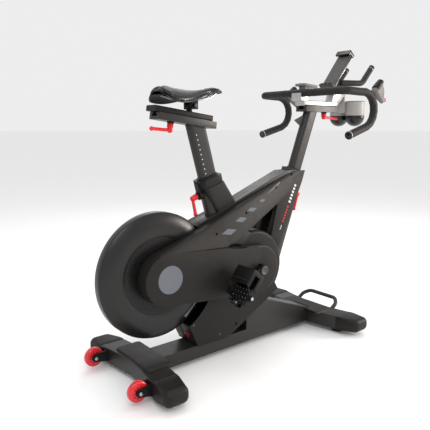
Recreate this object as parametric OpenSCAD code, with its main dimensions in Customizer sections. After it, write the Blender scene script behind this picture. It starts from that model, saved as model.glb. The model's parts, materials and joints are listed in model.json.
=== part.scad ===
// Indoor exercise bike. Millimetres, +X forward, +Y to the rider's left, +Z up.
// The origin lies on the floor under the middle of the bike.

/* [Overall] */
// Length from the flywheel housing to the tips of the front grips
overall_l = 1384; // [1384]
// Spacing of the outer faces of the stabilisers' end caps
base_w = 566; // [540:2:590]

/* [Drive] */
// Height of the crank axle above the floor
crank_z = 339; // [335:1:345]
// Length of a crank arm between its axes
crank_l = 172; // [165:1:175]
// Direction of the right crank arm below the horizontal, towards the rear
crank_angle = 18; // [0:1:40]
// Pitch of the pedals about their spindles, nose up
pedal_tilt = 50; // [0:5:60]
// Pitch radius of the crank pulley
drive_r = 112; // [112]
// Pitch radius of the flywheel pulley
driven_r = 28; // [28]

/* [Flywheel] */
// Height of the flywheel axle above the floor
fly_z = 375; // [370:1:380]
// Outer radius of the flywheel housing
housing_r = 228; // [224:1:232]
// Radius of the flywheel disc
fly_r = 204; // [196:1:208]

/* [Seat] */
// Backward lean of the seat post from the vertical
seat_lean = 16; // [14:1:18]
// Nose-down slope of the seat's fore-and-aft guide
guide_slope = 7.6; // [7:0.2:8]

/* [Handlebar] */
// Forward lean of the handlebar post from the vertical
bar_lean = 21; // [19:1:23]
// Diameter of the gripped handlebar tube
bar_d = 32; // [30:1:34]
// Half the spacing of the two drop grips
drop_y = 240; // [230:2:250]

/* [Hidden] */

$fn = 64;
fine = 120;            // facets on large round parts
rod_facets = 20;       // sides of a bent tube
skin = 3;              // wall of the plastic covers
gap = 0.3;             // clearance between sliding faces
fit_gap = 0.05;        // radial clearance of running fits

half_l = overall_l / 2;
fly_x = housing_r - half_l;
crank_x = -34;
fly_y = -8;            // middle plane of the flywheel
housing_y = [-40, 25]; // right and left faces of the flywheel housing
belt_y = [-58, -44];   // the belt's two edges
shell_y = 64;          // outer faces of the inner shells
hub_y = 97;            // outer faces of the side covers at hub and crank
bulge_r = 152;         // round front of the shells about the crank
hub_r = 93;            // round rear end of the side covers
ring_r = 98;           // round front of the side covers about the crank
arm_y = 72;            // side covers where the arm starts
head_y = 27;           // side covers at the head of the handlebar tube

stab_d = 92;           // fore-and-aft depth of a stabiliser
stab_z = [20, 78];     // its lower and upper faces
rear_x = [-524, -558]; // rear stabiliser's centre line, at the middle and at the ends
front_x = [350, 408];  // front stabiliser's centre line, at the middle and at the ends
cap_y = 185;           // where the end caps start
beam_y = 48;           // half width of the main beam
beam_z = [26, 77];

wheel_x = -636;
wheel_y = 161;
wheel_z = 52;
wheel_r = 36;

post_w = 38;           // width of both posts
seat_w = 78;           // fore-and-aft depth of the seat post
bar_w = 66;            // fore-and-aft depth of the handlebar post
seat_at = [-225, 0, 712];
bar_at = [250, 0, 712];
guide_at = [-333, 0, 931];
rail_at = [395, 0, 986];
tilt_up = [30, 44];    // the saddle pin on the seat's guide, along it and above it
tilt_at = [guide_at[0] + tilt_up[0] * cos(guide_slope) + tilt_up[1] * sin(guide_slope), 0,
  guide_at[2] - tilt_up[0] * sin(guide_slope) + tilt_up[1] * cos(guide_slope)];
tilt_pin_r = 6;
bar_at_z = 1038;       // height of the handlebar's top tube
bar_at_x = 276;
holder_at = [455, 0, 1074];
holder_lean = 39;
arm_slope = 21;
pedal_y = 172;
arm_in_y = 106;        // inner face of a crank arm
arm_t = 16;

steel = [0.07, 0.07, 0.075];
plastic = [0.10, 0.10, 0.105];
dark = [0.03, 0.03, 0.03];
silver = [0.75, 0.75, 0.76];
red = [0.78, 0.06, 0.10];
rubber = [0.04, 0.04, 0.04];

// ---------- frames and shared shapes ----------

// An outline in the X-Z plane, as a plate between two Y levels
module plate(y0, y1) {
  translate([0, y1, 0])
    rotate([90, 0, 0])
      linear_extrude(y1 - y0)
        children();
}

// A cylinder along Y about a point of the X-Z plane, between two Y levels
module rod_y(x, z, r, y0, y1) {
  translate([x, y1, z])
    rotate([90, 0, 0])
      cylinder(r = r, h = y1 - y0);
}

// A solid of revolution about an axis along Y; the profile's X is the radius, its Y the Y level
module turned(x, z) {
  translate([x, 0, z])
    rotate([-90, 0, 0])
      rotate_extrude($fn = fine)
        children();
}

module on_seat_axis() {
  translate(seat_at)
    rotate([0, -seat_lean, 0])
      children();
}

module on_bar_axis() {
  translate(bar_at)
    rotate([0, bar_lean, 0])
      children();
}

module on_guide() {
  translate(guide_at)
    rotate([0, guide_slope, 0])
      children();
}

module on_rail() {
  translate(rail_at)
    children();
}

module on_holder() {
  translate(holder_at)
    rotate([0, holder_lean, 0])
      children();
}

module mirror_y() {
  children();
  mirror([0, 1, 0])
    children();
}

// A slot-shaped outline, l long along X and w wide
module oblong(l, w) {
  square([l - w, w], center = true);
  for (s = [-1, 1])
    translate([s * (l - w) / 2, 0])
      circle(d = w);
}

// A rectangle with rounded corners
module rounded(l, w, r) {
  square([l - 2 * r, w], center = true);
  square([l, w - 2 * r], center = true);
  for (sx = [-1, 1])
    for (sy = [-1, 1])
      translate([sx * (l / 2 - r), sy * (w / 2 - r)])
        circle(r);
}

function unit(v) = v / norm(v);
function tangent(p, i) = unit(p[min(i + 1, len(p) - 1)] - p[max(i - 1, 0)]);

// Side vectors along a path, turned as little as possible from one point to the next
function sides(p, i, n) = i == len(p) ? [] :
  let (t = tangent(p, i), m = unit(n - (n * t) * t)) concat([m], sides(p, i + 1, m));

// A closed solid through rings of equally many points
module loft(rings) {
  n = len(rings[0]);
  last = len(rings) - 1;
  polyhedron(
    points = [for (ring = rings) for (p = ring) p],
    faces = concat(
      [[for (j = [n - 1 : -1 : 0]) j]],
      [for (i = [0 : last - 1]) for (j = [0 : n - 1])
        [i * n + j, i * n + (j + 1) % n, (i + 1) * n + (j + 1) % n, (i + 1) * n + j]],
      [[for (j = [0 : n - 1]) last * n + j]]));
}

// A bar of round section along a smooth list of points, starting with side vector n
module bent_rod(p, r, n) {
  m = sides(p, 0, n);
  loft([for (i = [0 : len(p) - 1])
    [for (a = [0 : 360 / rod_facets : 359]) p[i] + r * (cos(a) * m[i] + sin(a) * cross(tangent(p, i), m[i]))]]);
}

// Rounds the corners of a path: each inner point gives way to a curve through points near it
function smooth(p, d) = concat([p[0]], [for (i = [1 : len(p) - 2])
  let (a = p[i] + d * unit(p[i - 1] - p[i]), b = p[i] + d * unit(p[i + 1] - p[i]))
    for (t = [0 : 0.25 : 1]) (1 - t) * (1 - t) * a + 2 * t * (1 - t) * p[i] + t * t * b], [p[len(p) - 1]]);

module rod_between(a, b, r) {
  d = b - a;
  l = norm(d);
  translate(a)
    rotate([0, acos(d[2] / l), atan2(d[1], d[0])])
      cylinder(r = r, h = l);
}

// Points of an arc in the X-Z plane at a fixed Y
function arc_xz(cx, cz, r, a0, a1, n, y) =
  [for (i = [0 : n]) [cx + r * cos(a0 + (a1 - a0) * i / n), y, cz + r * sin(a0 + (a1 - a0) * i / n)]];

// ---------- base ----------

module main_beam_outline() {
  polygon([[-490, beam_z[0]], [330, beam_z[0]], [330, 84], [58, 180], [-60, 205], [-60, beam_z[1]],
    [-490, beam_z[1]]]);
}

module main_beam_hollow() {
  polygon([[-491, beam_z[0] + skin], [331, beam_z[0] + skin], [331, 80], [57, 176.5], [-57, 200],
    [-57, beam_z[1] - skin], [-491, beam_z[1] - skin]]);
}

module main_beam() {
  color(steel)
    difference() {
      plate(-beam_y, beam_y)
        main_beam_outline();
      plate(skin - beam_y, beam_y - skin)
        main_beam_hollow();
      stab_solid(rear_x);
      stab_solid(front_x);
    }
}

// Plan outline of one half of a stabiliser between |y| = y0 and y1, drawn inset inside its walls
module stab_plan(x, y0, y1, inset) {
  slope = (x[1] - x[0]) / (base_w / 2);
  half = stab_d / 2 - inset;
  polygon([[x[0] + slope * y0 - half, y0], [x[0] + slope * y1 - half, y1],
    [x[0] + slope * y1 + half, y1], [x[0] + slope * y0 + half, y0]]);
}

module stab_solid(x) {
  mirror_y()
    translate([0, 0, stab_z[0]])
      linear_extrude(stab_z[1] - stab_z[0])
        stab_plan(x, 0, cap_y, 0);
}

module stab_tube(x) {
  difference() {
    stab_solid(x);
    mirror_y()
      translate([0, 0, stab_z[0] + skin])
        linear_extrude(stab_z[1] - stab_z[0] - 2 * skin)
          stab_plan(x, -1, cap_y + 1, skin);
  }
}

module rear_stabiliser() {
  color(steel)
    difference() {
      stab_tube(rear_x);
      foot_holes(rear_x);
    }
}

module front_stabiliser() {
  color(steel)
    difference() {
      stab_tube(front_x);
      foot_holes(front_x);
    }
}

// Each foot's screw goes up into the stabiliser just inside the end cap
foot_y = 165;
foot_thread_r = 5;

module foot_holes(x) {
  mirror_y()
    translate([foot_x(x), foot_y, stab_z[0] - 1])
      cylinder(r = foot_thread_r + fit_gap, h = 2 * skin);
}

function foot_x(x) = x[0] + (x[1] - x[0]) * foot_y / (base_w / 2);

module end_cap(x) {
  slope = (x[1] - x[0]) / (base_w / 2);
  r = 24;
  y1 = base_w / 2 - r;
  hull() {
    translate([0, 0, stab_z[0] - 1])
      linear_extrude(stab_z[1] - stab_z[0] + 2)
        stab_plan(x, cap_y, cap_y + 20, 0);
    for (s = [-1, 1])
      for (z = [stab_z[0] - 1 + r, stab_z[1] + 1 - r])
        translate([x[0] + slope * y1 + s * (stab_d / 2 - r + 1), y1, z])
          sphere(r, $fn = 32);
  }
}

// Raised plastic saddle over the joint of stabiliser and main beam
module centre_cover(x, side) {
  w = 118;
  translate([x[0] + side * 4, 0, stab_z[1]])
    intersection() {
      linear_extrude(9, scale = 0.93)
        rounded(stab_d + 10, 2 * w, 12);
      translate([-stab_d, -w, 0])
        cube([2 * stab_d, 2 * w, 9]);
    }
}

module stabiliser_trim() {
  color(plastic) {
    mirror_y() {
      end_cap(rear_x);
      end_cap(front_x);
    }
    centre_cover(rear_x, 1);
    difference() {
      centre_cover(front_x, -1);
      plate(-beam_y - 1, beam_y + 1)
        translate([200, 0])
          square([131, 200]);
    }
  }
}

handle_y = 100;
handle_r = 9;

module lift_handle() {
  x0 = front_x[0] + stab_d / 2 + 10;
  half = [[x0, handle_y, 60], [x0 + 46, handle_y, 90], [x0 + 70, handle_y - 26, 104]];
  color(steel)
    difference() {
      bent_rod(smooth(concat(half, [for (i = [2 : -1 : 0]) [half[i][0], -half[i][1], half[i][2]]]), 14),
        handle_r, [0, 1, 0]);
      stab_solid(front_x);
    }
}

// ---------- transport wheels and feet ----------

wheel_w = 24;
axle_r = 4;

module wheel_forks() {
  color(plastic)
    mirror_y()
      difference() {
        union() {
          for (y = [wheel_y - wheel_w / 2 - 8, wheel_y + wheel_w / 2 + 2])
            plate(y, y + 6)
              fork_side();
          plate(wheel_y - wheel_w / 2 - 2, wheel_y + wheel_w / 2 + 2)
            fork_back();
        }
        rod_y(wheel_x, wheel_z, axle_r, wheel_y - 40, wheel_y + 40);
        stab_solid(rear_x);
      }
}

// Rear face of the rear stabiliser beside a wheel
fork_x = rear_x[0] + (rear_x[1] - rear_x[0]) * wheel_y / (base_w / 2) - stab_d / 2;

module fork_side() {
  translate([wheel_x, wheel_z])
    circle(14);
  polygon([[wheel_x, wheel_z - 14], [fork_x + 8, wheel_z - 26], [fork_x + 8, wheel_z + 20],
    [wheel_x, wheel_z + 14]]);
}

module fork_back() {
  translate([fork_x - 6, wheel_z - 24])
    square([14, 44]);
}

module wheel() {
  color(red)
    difference() {
      turned(0, 0)
        difference() {
          translate([0, -wheel_w / 2])
            wheel_profile();
          translate([-1, -wheel_w / 2 - 1])
            square([1 + axle_r + fit_gap, wheel_w + 2]);
        }
    }
}

module wheel_profile() {
  intersection() {
    square([wheel_r, wheel_w]);
    union() {
      square([wheel_r - 6, wheel_w]);
      translate([wheel_r - wheel_w / 2 + 2, wheel_w / 2])
        circle(wheel_w / 2);
    }
  }
}

module wheel_at(side) {
  translate([wheel_x, side * wheel_y, wheel_z])
    wheel();
}

module wheel_left() {
  wheel_at(1);
}

module wheel_right() {
  wheel_at(-1);
}

module foot(x, side) {
  color(rubber)
    translate([foot_x(x), side * foot_y, 0]) {
      cylinder(r = 24, h = 9);
      translate([0, 0, 9])
        cylinder(r1 = 24, r2 = 14, h = 5, $fn = 64);
      cylinder(r = foot_thread_r, h = 40);
    }
}

module foot_rear_left() {
  foot(rear_x, 1);
}

module foot_rear_right() {
  foot(rear_x, -1);
}

module foot_front_left() {
  foot(front_x, 1);
}

module foot_front_right() {
  foot(front_x, -1);
}

// ---------- welded frame ----------

seat_tube_l = 470;
seat_knob_z = -56;     // the clamp screw behind the seat tube
stud_r = 7;            // studs of the two height levers

module seat_tube_solid(grow) {
  on_seat_axis()
    translate([0, 0, -seat_tube_l])
      linear_extrude(seat_tube_l)
        oblong(seat_w + 12 + grow, post_w + 12 + grow);
}

module seat_tube() {
  color(steel)
    difference() {
      seat_tube_solid(0);
      on_seat_axis()
        translate([0, 0, -seat_tube_l + 20])
          linear_extrude(seat_tube_l)
            oblong(seat_w + 6, post_w + 6);
      rod_y(crank_x, crank_z, 32, -60, 60);
    }
}

arm_h = 52;
arm_half = 33;
arm_x = [-300, 165, 232]; // rear end, the bend near the head, front end

// Upper face of the arm as a line in the X-Z plane
function arm_top(x) = 652 + tan(arm_slope) * x;

// Lower face of the arm, a little less steep
function arm_low(x) = arm_top(arm_x[0]) - arm_h
  + (x - arm_x[0]) * (arm_top(arm_x[1]) - arm_top(arm_x[0])) / (arm_x[2] - arm_x[0]);

// The space that the covers leave free for the arm
module arm_clear() {
  plate(-arm_half - gap, arm_half + gap)
    polygon([[-330, arm_low(-330) - gap], [arm_x[2] + gap, arm_low(arm_x[2]) - gap], [arm_x[2] + gap, 900],
      [-330, 900]]);
}

module frame_arm() {
  color(steel)
    difference() {
      plate(-arm_half, arm_half)
        polygon([[arm_x[0], arm_low(arm_x[0])], [arm_x[0], arm_top(arm_x[0])], [arm_x[1], arm_top(arm_x[1])],
          [arm_x[2], arm_top(arm_x[1]) + 1], [arm_x[2], arm_low(arm_x[2])]]);
      plate(skin - arm_half, arm_half - skin)
        polygon([[-297, arm_low(-297) + 3.5], [-297, arm_top(-297) - 3.5], [165, arm_top(165) - 3.5],
          [240, arm_top(165)], [240, arm_low(240) + 3.5]]);
      seat_tube_solid(0.02);
      head_solid(0.02);
      rod_y(fly_x, fly_z, housing_r + gap, -60, 60);
    }
}

head_l = 560;
head_rear = 50;
head_front = 38;

module head_solid(grow) {
  on_bar_axis()
    translate([-head_rear - grow / 2, -24 - grow / 2, -head_l])
      cube([head_rear + head_front + grow, 48 + grow, head_l]);
}

module head_tube() {
  color(steel)
    difference() {
      head_solid(0);
      on_bar_axis()
        translate([0, 0, -head_l + 10])
          linear_extrude(head_l)
            oblong(bar_w + 6, post_w + 6);
      plate(-beam_y - 5, beam_y + 5)
        polygon([[-200, 0], [400, 0], [400, 59], [58, 180.02], [-60, 205.02], [-200, 205]]);
      on_bar_axis()
        translate([head_front - 20, 0, -90])
          rotate([0, 90, 0])
            cylinder(r = stud_r + fit_gap, h = 60);
    }
}

fork_end = [-165, 375]; // where the flywheel's straps meet the seat tube
web_half = 5;           // half thickness of the web between beam, seat tube and crank shell

module strap(r0, r1) {
  hull() {
    translate([fly_x, fly_z])
      circle(r0);
    translate(fork_end)
      circle(r1);
  }
}

module frame_upright() {
  color(steel)
    difference() {
      union() {
        rod_y(crank_x, crank_z, 31.9, -38, 38);
        plate(-web_half, web_half)
          polygon([[-150, 75], [-55, 75], [-61, 205.5], [0, 194], [crank_x + 20, crank_z], [-140, 300]]);
        plate(-70, -64.3)
          strap(26, 16);
        plate(30, 36)
          strap(26, 16);
        rod_y(fork_end[0], fork_end[1], 14, -64.4, 30.1);
      }
      rod_y(fly_x, fly_z, 12, -80, 80);
      rod_y(crank_x, crank_z, 26, -60, 60);
      plate(-beam_y, beam_y)
        main_beam_outline();
      seat_tube_solid(0.02);
    }
}

// ---------- clamps and sleeves ----------

module seat_clamp() {
  color(dark)
    difference() {
      union() {
        on_seat_axis()
          translate([0, 0, -32])
            linear_extrude(30)
              rounded(seat_w + 26, post_w + 28, 18);
        seat_boss();
        on_seat_axis()
          translate([-seat_w / 2 - 19, -12, seat_knob_z])
            cube([14, 24, 46]);
      }
      on_seat_axis()
        translate([0, 0, -100])
          linear_extrude(200)
            oblong(seat_w + 12.02, post_w + 12.02);
      seat_knob_axis(-20, 60, stud_r + fit_gap);
    }
}

// Along the clamp screw behind the seat tube, from local x = -u1 back to -u0
module seat_knob_axis(u0, u1, r) {
  on_seat_axis()
    translate([-seat_w / 2 - 7 - u0, 0, seat_knob_z])
      rotate([0, -90, 0])
        cylinder(r = r, h = u1 - u0);
}

module seat_boss() {
  on_seat_axis()
    translate([-seat_w / 2 - 21, 0, seat_knob_z])
      rotate([0, 90, 0])
        cylinder(r = 17, h = 16);
}

module sleeve(l, w, h, lip) {
  difference() {
    union() {
      translate([0, 0, -h])
        linear_extrude(h)
          oblong(l + 5.96, w + 5.96);
      linear_extrude(lip)
        oblong(l + 12, w + 12);
    }
    translate([0, 0, -h - 1])
      linear_extrude(h + lip + 2)
        oblong(l + 2 * gap, w + 2 * gap);
  }
}

module post_sleeves() {
  color(dark) {
    difference() {
      on_seat_axis()
        sleeve(seat_w, post_w, 110, 4);
      seat_knob_axis(-30, 60, 8);
    }
    difference() {
      on_bar_axis()
        sleeve(bar_w, post_w, 120, 6);
      on_bar_axis()
        translate([20, 0, -90])
          rotate([0, 90, 0])
            cylinder(r = 8, h = 60);
    }
  }
}

// ---------- body covers ----------

// Inner shell form on the right, drawn t inside its outer faces
module shell_form(t) {
  turned(crank_x, crank_z)
    shell_round(t);
  plate(-shell_y + t, t > 0 ? 1 : 0)
    polygon([[-317 + 1.5 * t, 80 + t], [-401 + 1.5 * t, 262], [-330 + t, 500 - t], [-230, 540 - t], [-60, 487 - t],
      [101 - 2 * t, 226], [-169 - t, 80 + t]]);
}

module shell_round(t) {
  e = 14;
  r = bulge_r - t;
  y = shell_y - t;
  polygon(concat([[0, t > 0 ? 1 : 0], [0, -y]],
    [for (a = [-90 : 15 : 0]) [r - e + e * cos(a), -y + e + e * sin(a)]], [[r, t > 0 ? 1 : 0]]));
}

// What the inner shells must leave free: flywheel housing, beam, frame tubes and crank
module shell_clear() {
  rod_y(fly_x, fly_z, housing_r + 3, -200, 200);
  plate(-beam_y - 0.3, beam_y + 0.3)
    main_beam_outline();
  rod_y(crank_x, crank_z, 40, -200, 200);
  head_solid(2 * gap);
  arm_clear();
  plate(-web_half - gap, web_half + gap)
    translate([-152, 60])
      square([102, 110]);
  on_seat_axis()
    translate([0, 0, -seat_tube_l - 1])
      linear_extrude(seat_tube_l + 1)
        oblong(seat_w + 12.6, post_w + 12.6);
  rod_y(fork_end[0], fork_end[1], 14.3, -70, 70);
}

module shell_half() {
  difference() {
    shell_form(0);
    shell_form(skin);
    shell_clear();
  }
}

module shell_right() {
  color(plastic)
    difference() {
      shell_half();
      at_inlet()
        translate([0, 0, -20])
          cylinder(r = inlet_r + 0.2, h = 40);
    }
}

module shell_left() {
  color(plastic)
    mirror([0, 1, 0])
      shell_half();
}

// The disc of the side cover round the crank, and the deeper one at the hub
module crank_disc(t) {
  rod_y(crank_x, crank_z, ring_r - t, -hub_y + t, -shell_y - gap + (t > 0 ? 2 : 0));
}

module hub_disc(t) {
  rod_y(fly_x, fly_z, hub_r - t, -hub_y + t, housing_y[0] - gap + (t > 0 ? 2 : 0));
}

module arm_root(t) {
  plate(-arm_y + t, -arm_half - 0.5 + (t > 0 ? t : 0))
    polygon([[-318 + t, 492 + t], [-300 + t, 528 - t], [-236, 545 - t], [-165 - t, 446 + t]]);
}

module arm_head(t) {
  plate(-head_y - 8 + t, -head_y + 2)
    polygon([[150, 662 + t], [150, 694 - t], [213, 712 - t], [284 - t, 712 - t], [268 - t, 668 + t]]);
}

module strip_foot(t) {
  plate(-shell_y + 12 + t, -24.5)
    polygon([[66 + t, 395], [66 + t, 440], [116 - t, 440], [116 - t, 395]]);
}

// The outer side cover: hub and crank in one raised field, the arm and the strip beside the head tube
module cover_half() {
  difference() {
    union() {
      hull() {
        hub_disc(0);
        crank_disc(0);
      }
      hull() {
        hub_disc(0);
        arm_root(0);
      }
      hull() {
        arm_root(0);
        arm_head(0);
      }
      hull() {
        arm_head(0);
        strip_foot(0);
      }
    }
    hull() {
      hub_disc(skin);
      crank_disc(skin);
    }
    hull() {
      hub_disc(skin);
      arm_root(skin);
    }
    rod_y(crank_x, crank_z, 22, -200, 0);
    turned(crank_x, crank_z)
      translate([0, -shell_y - 0.3])
        square([bulge_r + 0.3, shell_y + 1]);
    plate(-shell_y - 0.3, 1)
      polygon([[-317, 80], [-401, 262], [-330, 500.3], [-230, 540.3], [-60, 487.3], [101, 226], [-169, 80]]);
    rod_y(fly_x, fly_z, housing_r + 3, housing_y[0] - gap, 1);
    arm_clear();
  }
}

module cover_right() {
  color(plastic)
    cover_half();
}

module cover_left() {
  color(plastic)
    mirror([0, 1, 0])
      cover_half();
}

// Shroud round the seat tube above the arm
module seat_shroud() {
  color(plastic)
    difference() {
      hull() {
        on_seat_axis()
          translate([6, 0, -36])
            linear_extrude(2)
              rounded(seat_w + 22, post_w + 28, 18);
        translate([-140, 0, 0])
          plate_z(arm_top(-190) - 6)
            rounded(126, 2 * arm_half, 18);
      }
      on_seat_axis()
        translate([0, 0, -300])
          linear_extrude(400)
            oblong(seat_w + 12.6, post_w + 12.6);
      plate(-arm_half - 1, arm_half + 1)
        polygon([[-400, arm_top(-400) + 0.3], [300, arm_top(300) + 0.3], [300, 300], [-400, 300]]);
      seat_knob_axis(-20, 60, 18);
    }
}

module plate_z(z) {
  translate([0, 0, z])
    linear_extrude(2)
      children();
}

// ---------- flywheel and its housing ----------

module housing_profile(r, y0, y1, t) {
  e = 16;
  polygon(concat([[32, y0 + 10], [70, y0 + 10], [84, y0 + 6], [132, y0 + 3], [150, y0]],
    [for (a = [-90 : 15 : 0]) [r - e + e * cos(a), y0 + e + e * sin(a)]],
    [[r, y1], [r - t, y1]],
    [for (a = [0 : -15 : -90]) [r - e + (e - t) * cos(a), y0 + e + (e - t) * sin(a)]],
    [[150, y0 + t], [132, y0 + 3 + t], [84, y0 + 6 + t], [70, y0 + 10 + t], [32, y0 + 10 + t]]));
}

module flywheel_cover_right() {
  color(plastic)
    turned(fly_x, fly_z)
      housing_profile(housing_r, housing_y[0], fly_y, skin);
}

module flywheel_cover_left() {
  color(plastic)
    mirror([0, 1, 0])
      turned(fly_x, fly_z)
        housing_profile(housing_r, -housing_y[1], -fly_y - 0.2, skin);
}

hub_bore_r = 24;

module flywheel() {
  color(silver)
    turned(fly_x, fly_z)
      polygon([[hub_bore_r, fly_y - 18], [38, fly_y - 18], [38, fly_y - 6], [150, fly_y - 6], [158, fly_y - 12],
        [fly_r, fly_y - 12], [fly_r, fly_y + 12], [158, fly_y + 12], [150, fly_y + 6], [38, fly_y + 6],
        [38, fly_y + 18], [hub_bore_r, fly_y + 18]]);
}

module flywheel_pulley() {
  color(silver)
    turned(fly_x, fly_z)
      polygon([[hub_bore_r - 8, belt_y[0]], [driven_r, belt_y[0]], [driven_r, belt_y[1]],
        [30, belt_y[1]], [30, fly_y - 18], [hub_bore_r - 8, fly_y - 18]]);
}

module flywheel_axle() {
  color(silver)
    rod_y(fly_x, fly_z, 12, -76, 42);
}

// The frame's two crank bearings, and the flywheel's two bearings on the fixed axle
module bearings() {
  color(silver)
    for (y = [-38, 24])
      rod_ring(crank_x, crank_z, 12 + fit_gap, 26, y, y + 14);
  color(silver)
    for (y = [fly_y - 18, fly_y + 8])
      rod_ring(fly_x, fly_z, 12, hub_bore_r - fit_gap, y, y + 10);
}

module rod_ring(x, z, r0, r1, y0, y1) {
  difference() {
    rod_y(x, z, r1, y0, y1);
    rod_y(x, z, r0, y0 - 1, y1 + 1);
  }
}

module brake_magnets() {
  color(dark)
    for (y = [[housing_y[0] + skin, fly_y - 14], [fly_y + 14, housing_y[1] - skin]])
      plate(y[0], y[1])
        polygon([[fly_x + 110, fly_z - 178], [fly_x + 178, fly_z - 110], [fly_x + 141, fly_z - 73],
          [fly_x + 73, fly_z - 141]]);
}

module belt_loop(r) {
  hull() {
    translate([crank_x, crank_z])
      circle(drive_r + r, $fn = fine);
    translate([fly_x, fly_z])
      circle(driven_r + r, $fn = fine);
  }
}

module belt() {
  color(rubber)
    plate(belt_y[0], belt_y[1])
      difference() {
        belt_loop(3.5);
        belt_loop(0.5);
      }
}

inlet_at = [-334.5, -14, 118]; // on the outer face of the right shell's rear wall
inlet_r = 8;
inlet_bore_r = 2.75;

// A frame with +Z straight out of the shell's rear wall
module at_inlet() {
  translate(inlet_at)
    rotate([0, -90 - atan(84 / 182), 0])
      children();
}

module power_inlet() {
  color(dark)
    at_inlet()
      difference() {
        union() {
          translate([-18, -13, -17.5])
            cube([36, 26, 11]);
          translate([0, 0, -7])
            cylinder(r = inlet_r, h = 7);
        }
        translate([0, 0, -10])
          cylinder(r = inlet_bore_r, h = 30);
      }
  color(red)
    at_inlet()
      difference() {
        cylinder(r = inlet_r + 3, h = 1.6);
        translate([0, 0, -1])
          cylinder(r = 6, h = 4);
      }
}

module rod_x(x, y, z, r, h) {
  translate([x, y, z])
    rotate([0, 90, 0])
      cylinder(r = r, h = h);
}

// ---------- crank ----------

module crank_axle() {
  color(silver)
    rod_y(crank_x, crank_z, 12, -arm_in_y - arm_t + 2, arm_in_y + arm_t - 2);
}

module drive_pulley() {
  color(dark)
    difference() {
      turned(crank_x, crank_z)
        polygon([[12, belt_y[0]], [24, belt_y[0]], [24, belt_y[0] + 4], [98, belt_y[0] + 4], [98, belt_y[0]],
          [drive_r, belt_y[0]], [drive_r, belt_y[1]], [98, belt_y[1]], [98, belt_y[1] - 4], [24, belt_y[1] - 4],
          [24, belt_y[1]], [12, belt_y[1]]]);
      for (a = [0 : 60 : 300])
        rod_y(crank_x + 62 * cos(a), crank_z + 62 * sin(a), 22, -80, 0);
    }
}

function crank_dir(side) = side < 0 ? 180 + crank_angle : crank_angle;
function pedal_x(side) = crank_x + crank_l * cos(crank_dir(side));
function pedal_z(side) = crank_z + crank_l * sin(crank_dir(side));

// The right crank arm, in a frame where it lies along +X from the axle
module crank_arm() {
  difference() {
    union() {
      rod_y(0, 0, 21, -arm_in_y - arm_t, -arm_in_y);
      rod_y(crank_l, 0, 15, -arm_in_y - arm_t, -arm_in_y);
      plate(-arm_in_y - arm_t + 2, -arm_in_y - 1)
        polygon([[0, -18], [crank_l, -13], [crank_l, 13], [0, 18]]);
    }
    rod_y(0, 0, 12.02, -arm_in_y - arm_t + 2, 0);
    rod_y(crank_l, 0, 7 + fit_gap, -200, 0);
  }
}

module crank_at(angle) {
  translate([crank_x, 0, crank_z])
    rotate([0, -angle, 0])
      children();
}

module crank_right() {
  color(dark)
    crank_at(crank_dir(-1))
      crank_arm();
}

module crank_left() {
  color(dark)
    crank_at(crank_dir(1))
      mirror([0, 1, 0])
        crank_arm();
}

// A pedal about its spindle along Y: body, toe cage in front and cleat plates behind
module pedal() {
  inner = -arm_in_y - arm_t - 4;
  outer = -2 * pedal_y + arm_in_y + arm_t + 4;
  difference() {
    union() {
      rod_y(0, 0, 13, outer, inner);
      translate([-32, outer + 4, -10])
        cube([64, inner - outer - 8, 20]);
    }
    rod_y(0, 0, 7.02, outer - 1, inner + 1);
  }
  rod_y(0, 0, 7, outer - 3, -arm_in_y - 1);
  rod_y(0, 0, 10, outer - 8, outer - 3);
  toe_cage(outer, inner);
  for (s = [-1, 1])
    translate([-44, (outer + inner) / 2 - 15, s * 13 - 3])
      cube([34, 30, 6]);
}

module toe_cage(outer, inner) {
  difference() {
    translate([31, outer, -12])
      cube([63.2, inner - outer, 62]);
    translate([26, outer + 6, -7])
      cube([62, inner - outer - 12, 52]);
    translate([26, outer - 1, 6])
      cube([52, inner - outer + 2, 26]);
  }
}

module pedal_at(side) {
  translate([pedal_x(side), 0, pedal_z(side)])
    rotate([0, -pedal_tilt, 0])
      children();
}

module pedal_right() {
  color(dark)
    pedal_at(-1)
      pedal();
}

module pedal_left() {
  color(dark)
    pedal_at(1)
      mirror([0, 1, 0])
        pedal();
}

// ---------- seat ----------

seat_post_l = 420;
seat_post_top = 207;
guide_w = 62;
slide_stud_r = 6;      // studs of the two slide levers

module guide_profile(y_half, z0, z1, slot, lip, g) {
  difference() {
    translate([-y_half, z0])
      square([2 * y_half, z1 - z0]);
    translate([-slot - g, z1 - 14 - g])
      square([2 * (slot + g), 8 + 2 * g]);
    translate([-lip - g, z1 - 8])
      square([2 * (lip + g), 10]);
  }
}

// Extrudes a Y-Z profile along X from x0 to x1
module along_x(x0, x1) {
  translate([x0, 0, 0])
    rotate([90, 0, 90])
      linear_extrude(x1 - x0)
        children();
}

module seat_post() {
  color(steel) {
    difference() {
      on_seat_axis()
        translate([0, 0, seat_post_top - seat_post_l])
          linear_extrude(seat_post_l)
            oblong(seat_w, post_w);
      on_seat_axis()
        translate([0, 0, seat_post_top - seat_post_l - 1])
          linear_extrude(seat_post_l)
            oblong(seat_w - 6, post_w - 6);
      on_guide()
        translate([-200, -60, -25])
          cube([400, 120, 200]);
    }
    on_guide()
      difference() {
        along_x(-118, 132)
          guide_profile(guide_w / 2, -25, 0, 16, 10, gap);
        translate([-50, 0, -30])
          cylinder(r = slide_stud_r + fit_gap, h = 24);
      }
  }
}

module tongue(x0, x1) {
  along_x(x0, x1) {
    translate([-16, -14])
      square([32, 8]);
    translate([-10, -7])
      square([20, 8]);
  }
}

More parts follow.
